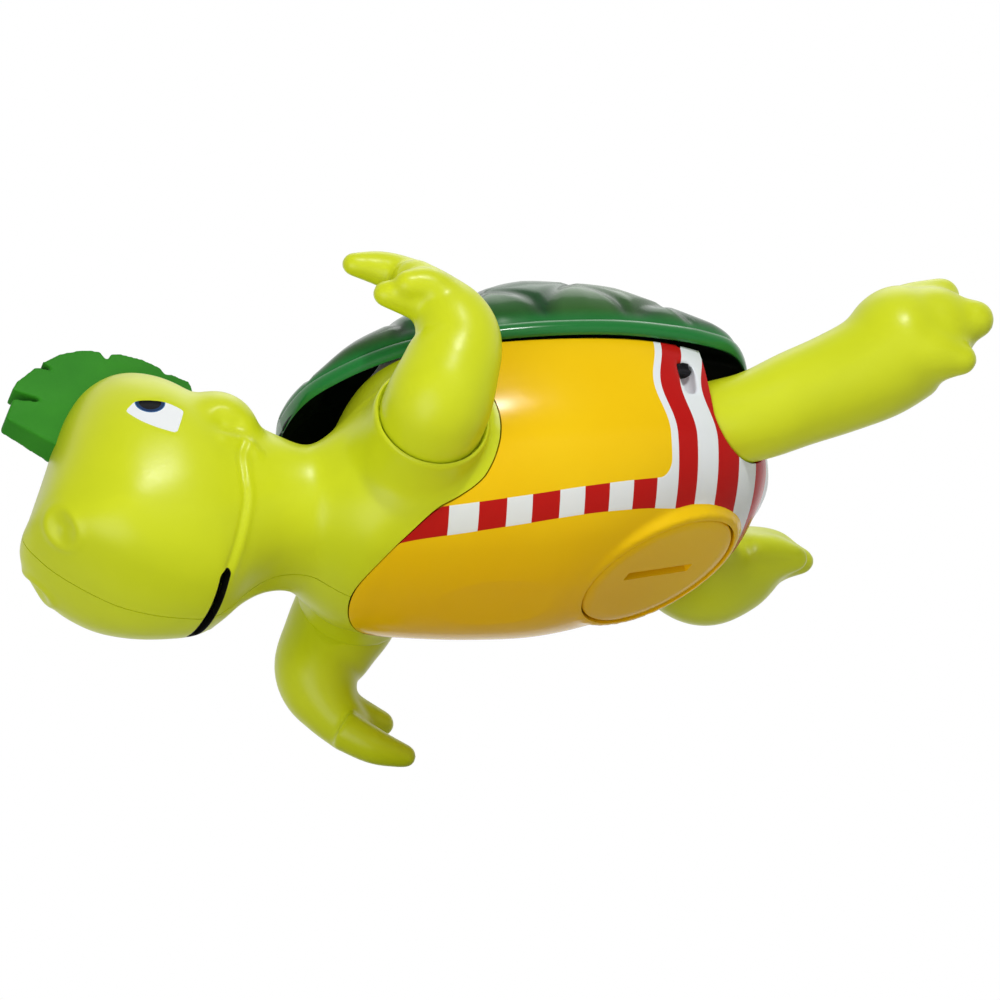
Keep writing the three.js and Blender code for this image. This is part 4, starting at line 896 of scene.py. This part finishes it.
def scutes():
    """Hexagonal plates over a dome: a groove along each border, a low crown, and each plate's own tone."""
    tree = bpy.data.node_groups.new("scutes", "GeometryNodeTree")
    inputs = {"Geometry": "Geometry", "Middle": "Vector", "Plate": "Vector", "Groove Width": "Float",
              "Groove Depth": "Float", "Crown": "Float", "Rim Height": "Float", "Finish": "Material"}
    sockets = {}
    for name, kind in inputs.items():
        sockets[name] = tree.interface.new_socket(name, in_out="INPUT", socket_type="NodeSocket" + kind)
    tree.interface.new_socket("Geometry", in_out="OUTPUT", socket_type="NodeSocketGeometry")
    given = add(tree, "NodeGroupInput").outputs
    across = (0.5, math.sqrt(3) / 2, 0)
    half = (*across[:2], 1)
    low = tuple(-h for h in half)
    off = add(tree, "ShaderNodeVectorMath", {0: add(tree, "GeometryNodeInputPosition"), 1: given["Middle"]},
              operation="SUBTRACT")
    height = add(tree, "ShaderNodeSeparateXYZ", {0: off}).outputs["Z"]
    plan = add(tree, "ShaderNodeVectorMath", {0: off, 1: given["Plate"]}, operation="MULTIPLY")
    moved = add(tree, "ShaderNodeVectorMath", {0: plan, 1: across}, operation="ADD")
    even = add(tree, "ShaderNodeVectorMath", {0: plan, 1: half, 2: low}, operation="WRAP")
    odd = add(tree, "ShaderNodeVectorMath", {0: moved, 1: half, 2: low}, operation="WRAP")
    far = add(tree, "ShaderNodeVectorMath", {0: odd}, operation="LENGTH").outputs["Value"]
    near = add(tree, "ShaderNodeVectorMath", {0: even}, operation="LENGTH").outputs["Value"]
    closer = add(tree, "ShaderNodeMath", {0: near, 1: far}, operation="LESS_THAN")
    inside = add(tree, "GeometryNodeSwitch", {0: closer, 1: odd, 2: even}, input_type="VECTOR")
    reach = add(tree, "ShaderNodeVectorMath", {0: inside}, operation="ABSOLUTE")
    slant = add(tree, "ShaderNodeVectorMath", {0: reach, 1: across}, operation="DOT_PRODUCT")
    straight = add(tree, "ShaderNodeSeparateXYZ", {0: reach}).outputs["X"]
    most = add(tree, "ShaderNodeMath", {0: straight, 1: slant.outputs["Value"]}, operation="MAXIMUM")
    border = add(tree, "ShaderNodeMath", {0: 0.5, 1: most}, operation="SUBTRACT")
    groove = add(tree, "ShaderNodeMapRange", {"Value": border, "From Max": given["Groove Width"],
                                              "To Min": given["Groove Depth"], "To Max": 0.0},
                 interpolation_type="SMOOTHSTEP")
    crown = add(tree, "ShaderNodeMapRange", {"Value": border, "From Max": 0.5, "To Max": given["Crown"]},
                interpolation_type="SMOOTHSTEP")
    lift = add(tree, "ShaderNodeMath", {0: crown, 1: groove}, operation="SUBTRACT")
    clear = add(tree, "ShaderNodeMath", {0: given["Rim Height"], 1: SCUTE_FADE * MM}, operation="ADD")
    fade = add(tree, "ShaderNodeMapRange", {"Value": height, "From Min": given["Rim Height"],
                                            "From Max": clear}, interpolation_type="SMOOTHSTEP")
    kept = add(tree, "ShaderNodeMath", {0: lift, 1: fade}, operation="MULTIPLY")
    normal = add(tree, "GeometryNodeInputNormal")
    push = add(tree, "ShaderNodeVectorMath", {0: normal, "Scale": kept}, operation="SCALE")
    # A plate's middle, rounded so that all its points agree on it, draws the plate's tone
    middle = add(tree, "ShaderNodeVectorMath", {0: plan, 1: inside}, operation="SUBTRACT")
    nudge, step = (0.1,) * 3, (0.25,) * 3
    nudged = add(tree, "ShaderNodeVectorMath", {0: middle, 1: nudge}, operation="ADD")
    cell = add(tree, "ShaderNodeVectorMath", {0: nudged, 1: step}, operation="SNAP")
    tone = add(tree, "ShaderNodeTexWhiteNoise", {"Vector": cell}, noise_dimensions="3D").outputs["Value"]
    grown = add(tree, "GeometryNodeSetPosition", {"Geometry": given["Geometry"], "Offset": push})
    for name, value in (("border", border), ("tone", tone), ("dome", fade)):
        grown = add(tree, "GeometryNodeStoreNamedAttribute",
                    {"Geometry": grown, "Name": name, "Value": value})
    whole = add(tree, "GeometryNodeRealizeInstances", {"Geometry": grown})
    dressed = add(tree, "GeometryNodeSetMaterial", {"Geometry": whole, "Material": given["Finish"]})
    add(tree, "NodeGroupOutput", {"Geometry": dressed})
    return tree, {name: socket.identifier for name, socket in sockets.items()}


def shell(finish, inside):
    """A dome over a rolled rim with plates grown by the scutes tree, then a wall whose inside is painted
    near-black as shade.
    """
    around, along, top = 150, 170, RIM_Z + RIM_BAND
    turn = np.linspace(0, math.pi, around)
    rings = []
    for x, half, ridge in spline(SHELL, along):
        inner, rise = max(half - DOME_INSET, TIP_HALF), max(ridge - top, TIP_RISE)
        arch = np.stack([np.full(around, x), inner * power(np.cos(turn), DOME_SQUARE),
                         top + rise * power(np.sin(turn), DOME_SQUARE)], 1)
        near = np.array([[x, max(half + out, TIP_RIM), RIM_Z + up] for out, up in RIM_ROLL])
        rings.append(np.concatenate([near, arch, near[::-1] * [1, -1, 1]]))
    count, last = len(rings[0]), len(rings) - 1
    faces = [(i * count + j, i * count + j + 1, (i + 1) * count + j + 1, (i + 1) * count + j)
             for i in range(last) for j in range(count - 1)]
    faces += [tuple(range(count - 1, -1, -1)), tuple(range(last * count, (last + 1) * count))]
    made = new_object("shell_moulding", np.concatenate(rings), faces)
    tree, sockets = scutes()
    grow = made.modifiers.new("scutes", "NODES")
    grow.node_group = tree
    for name, value in (
        ("Middle", SHAFT), ("Plate", [per(SCUTE[0]), per(SCUTE[1]), 0]),
        ("Groove Width", SCUTE_GROOVE[0] / SCUTE[0]), ("Groove Depth", SCUTE_GROOVE[1] * MM),
        ("Crown", SCUTE_CROWN * MM), ("Rim Height", top * MM), ("Finish", finish),
    ):
        grow[sockets[name]] = value
    made.data = bpy.data.meshes.new_from_object(made.evaluated_get(bpy.context.evaluated_depsgraph_get()))
    made.modifiers.clear()
    # The inside gets the near-black finish that is painted as the shade under the shell
    made.data.materials.append(inside)
    return wall(made, SHELL_WALL, material_offset=1, thickness_clamp=2.0)


def battery_door():
    """A turned door with a spigot and two lugs, and a coin slot across its face."""
    made = lathe("door_moulding", DOOR_PROFILE, DOOR_AXIS, around=128)
    across = DOOR_AXIS @ Matrix.Rotation(math.radians(COIN_SLOT_TURN), 4, "Y")
    length, width, depth = COIN_SLOT
    corners = [(x * length / 2, y * depth, z * width / 2)
               for x in (-1, 1) for y in (-1, 1) for z in (-1, 1)]
    sides = [(0, 1, 3, 2), (4, 6, 7, 5), (0, 4, 5, 1), (2, 3, 7, 6), (0, 2, 6, 4), (1, 5, 7, 3)]
    cutter = outward(new_object("coin_slot", [across @ Vector(corner) for corner in corners], sides))
    modified(cutter, "BEVEL", width=COIN_SLOT_BEVEL * MM, segments=3)
    modified(made, "BOOLEAN", operation="DIFFERENCE", object=cutter, solver="EXACT")
    bpy.data.objects.remove(cutter)
    parts = [made]
    inner, outer, spread, *levels = LUG
    for start in (0, 180):
        turns = np.radians(start + np.linspace(-spread / 2, spread / 2, 9))
        arcs = ((inner, turns), (outer, turns[::-1]))
        outline = [[r * math.cos(a), r * math.sin(a)] for r, row in arcs for a in row]
        near, far = ([DOOR_AXIS @ Vector((x, level, z)) for x, z in outline] for level in levels)
        parts.append(prism("lug", near, far))
    return joined("door_moulding", parts)


FINISH = {
    "lime_plastic": moulded_lime(), "yellow_plastic": painted_yellow(), "green_plastic": shell_green(),
    "crest_plastic": crest_green(), "white_plastic": natural_acetal(), "black_plastic": black_plastic(),
    "rubber": nitrile(), "steel": drawn_metal("nickel_plated_steel", "A9ACAF", "C9CBCD"),
    "brass": drawn_metal("turned_brass", "B8934A", "D9BC72"), "board": solder_mask(),
    "cell_jacket": cell_jacket(),
}
carapace = shell(FINISH["green_plastic"], shell_inside())
door = battery_door()


def keep(obj, **fields):
    """Numbers per vertex, for the material to read."""
    for name, values in fields.items():
        obj.data.attributes.new(name, "FLOAT", "POINT").data.foreach_set("value", values.astype(np.float32))


def print_eyes(obj):
    """Distances from the eye's outline, the iris's middle and the mouth slot's edge band that is painted black as
    shade.
    """
    points = in_mm(obj.data)
    iris = np.linalg.norm(folded(points) - np.array(IRIS), axis=1)
    # A band along the mouth slot's edge, painted near-black as the slot's shade
    slot = np.clip(mouth_field(points) - MOUTH_SHADE_BAND, -MOUTH_SHADE_BAND, 1)
    keep(obj, eye=eye_field(points), iris=iris, skin=slot)


def spray_stripes(obj):
    """Where the stripes lie, and the distance into the paint from bare plastic."""
    points = in_mm(obj.data)
    x, _, z = points.T
    waist = np.cos(math.pi / 2 * np.clip((z - WAIST_Z) / WAIST_REACH, -1, 1)) ** 2
    along = x + WAIST_PULL * waist
    belt = z - BELT_RISE * x**2 - BELT_LEVEL
    end, low = along - SIDE_END + SIDE_CORNER, BELT_WIDTH - belt + SIDE_CORNER
    corner = np.hypot(np.maximum(end, 0), np.maximum(low, 0))
    side = corner + np.minimum(np.maximum(end, low), 0) - SIDE_CORNER
    belly = np.maximum(belt, x - BELLY_END)
    ring = door_radius(points)[0] - RING_END
    keep(obj, stripe=along, bare=np.minimum(np.minimum(side, belly), ring))


print_eyes(left_skin)
print_eyes(right_skin)
spray_stripes(tub)

for made, body_name, node_name, slot_name in (
    (left_skin, "hull", "left_skin", "lime_plastic"),
    (right_skin, "hull", "right_skin", "lime_plastic"),
    (tub, "hull", "plastron", "yellow_plastic"),
    (left_arm, "arms", "left_arm", "lime_plastic"),
    (right_arm, "arms", "right_arm", "lime_plastic"),
    (left_leg, "hull", "left_leg", "lime_plastic"),
    (right_leg, "hull", "right_leg", "lime_plastic"),
    (hair, "hull", "hair_crest", "crest_plastic"),
    (carapace, "hull", "carapace", "green_plastic"),
    (door, "door", "battery_door", "yellow_plastic"),
):
    made.data.polygons.foreach_set("use_smooth", [True] * len(made.data.polygons))
    made.data.set_sharp_from_angle(angle=math.radians(SHARP_ANGLE))
    if not made.data.materials:
        made.data.materials.append(FINISH[slot_name])
    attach(made, body_name)
    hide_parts(node_name)

# The CAD's own pieces keep their shapes; the screws sit deep in their pockets and are painted near-black as the
# pockets' shade
screw_painted_shade = drawn_metal("steel_painted_pocket_shade", "1C1D1F", "2B2C2E")
for part in frame["record"]["subparts"]:
    node = frame["nodes"][part["node"]]
    node.data.materials.clear()
    node.data.materials.append(screw_painted_shade if "screw" in part["node"] else FINISH[part["material_slot"]])

# Camera at the photo's angle, below the toy on its left
right, up = Vector(VIEW_RIGHT).normalized(), Vector(VIEW_UP)
up = (up - right * up.dot(right)).normalized()
away = up.cross(right)
target = SHAFT + (right * VIEW_MIDDLE[0] + up * VIEW_MIDDLE[1]) * MM
camera = bpy.data.objects.new("camera", bpy.data.cameras.new("camera"))
camera.data.lens = camera.data.sensor_width * VIEW_DISTANCE / VIEW_WIDTH
camera.matrix_world = (Matrix.Translation(target - away * VIEW_DISTANCE)
                       @ Matrix((right, up, -away)).transposed().to_4x4())
scene = bpy.context.scene
scene.collection.objects.link(camera)
scene.camera = camera
scene.view_settings.view_transform = "Standard"

# A white studio: the world is white to the eye, and white in reflections from behind the toy, where the
# backdrop hangs; the room on the camera's side is dimmer, and the toy is lit by less of it
world = bpy.data.worlds.new("studio")
scene.world = world
world.use_nodes = True
studio = world.node_tree
path = add(studio, "ShaderNodeLightPath").outputs
mirrored = add(studio, "ShaderNodeMath", {0: path["Is Glossy Ray"], 1: path["Is Transmission Ray"]},
               operation="MAXIMUM")
direction = add(studio, "ShaderNodeTexCoord").outputs["Generated"]
behind = add(studio, "ShaderNodeVectorMath", {0: direction, 1: away}, operation="DOT_PRODUCT")
backdrop = add(studio, "ShaderNodeMapRange", {
    "Value": behind.outputs["Value"], "From Min": BACKDROP[0], "From Max": BACKDROP[1],
    "To Min": ROOM_STRENGTH, "To Max": 1.0})
lit = add(studio, "ShaderNodeMix", {0: mirrored, 2: TOY_STRENGTH, 3: backdrop},
          data_type="FLOAT").outputs[0]
strength = add(studio, "ShaderNodeMath", {0: path["Is Camera Ray"], 1: lit}, operation="MAXIMUM")
background = studio.nodes["Background"]
background.inputs["Color"].default_value = (1, 1, 1, 1)
studio.links.new(strength.outputs[0], background.inputs["Strength"])

for name, aim, size, watts in LAMPS:
    lamp = bpy.data.objects.new(name, bpy.data.lights.new(name, "AREA"))
    lamp.data.energy = watts
    lamp.data.size = size
    lamp.location = SHAFT + Vector(aim)
    lamp.rotation_mode = "QUATERNION"
    lamp.rotation_quaternion = Vector(aim).to_track_quat("Z", "Y")
    scene.collection.objects.link(lamp)


# A pale lacquered board under the toy, clear from below and to the lamps, so that the camera looks up
# through it
def floor_board():
    made, tree, shader, place = material("pale_lacquered_board", Roughness=0.6)
    mottle = add(tree, "ShaderNodeTexNoise", {"Vector": place, "Scale": per(80), "Detail": 3.0})
    colour = add(tree, "ShaderNodeValToRGB", {"Fac": mottle},
                 [(0.3, srgb("D6D6D4")), (0.7, srgb("DEDEDC"))])
    feed(tree, shader, Base_Color=colour.outputs[0])
    below = add(tree, "ShaderNodeNewGeometry").outputs["Backfacing"]
    lamp_ray = add(tree, "ShaderNodeLightPath").outputs["Is Shadow Ray"]
    clear = add(tree, "ShaderNodeMath", {0: below, 1: lamp_ray}, operation="MAXIMUM")
    glass = add(tree, "ShaderNodeBsdfTransparent")
    mixed = add(tree, "ShaderNodeMixShader", {0: clear, 1: shader, 2: glass})
    tree.links.new(mixed.outputs[0], tree.nodes["Material Output"].inputs["Surface"])
    return made


level = -SHAFT.z / MM - FLOOR_GAP
corners = [[x * FLOOR_HALF, y * FLOOR_HALF, level] for x, y in ((-1, -1), (1, -1), (1, 1), (-1, 1))]
floor = new_object("floor", corners, [(0, 1, 2, 3)])
floor.data.materials.append(floor_board())
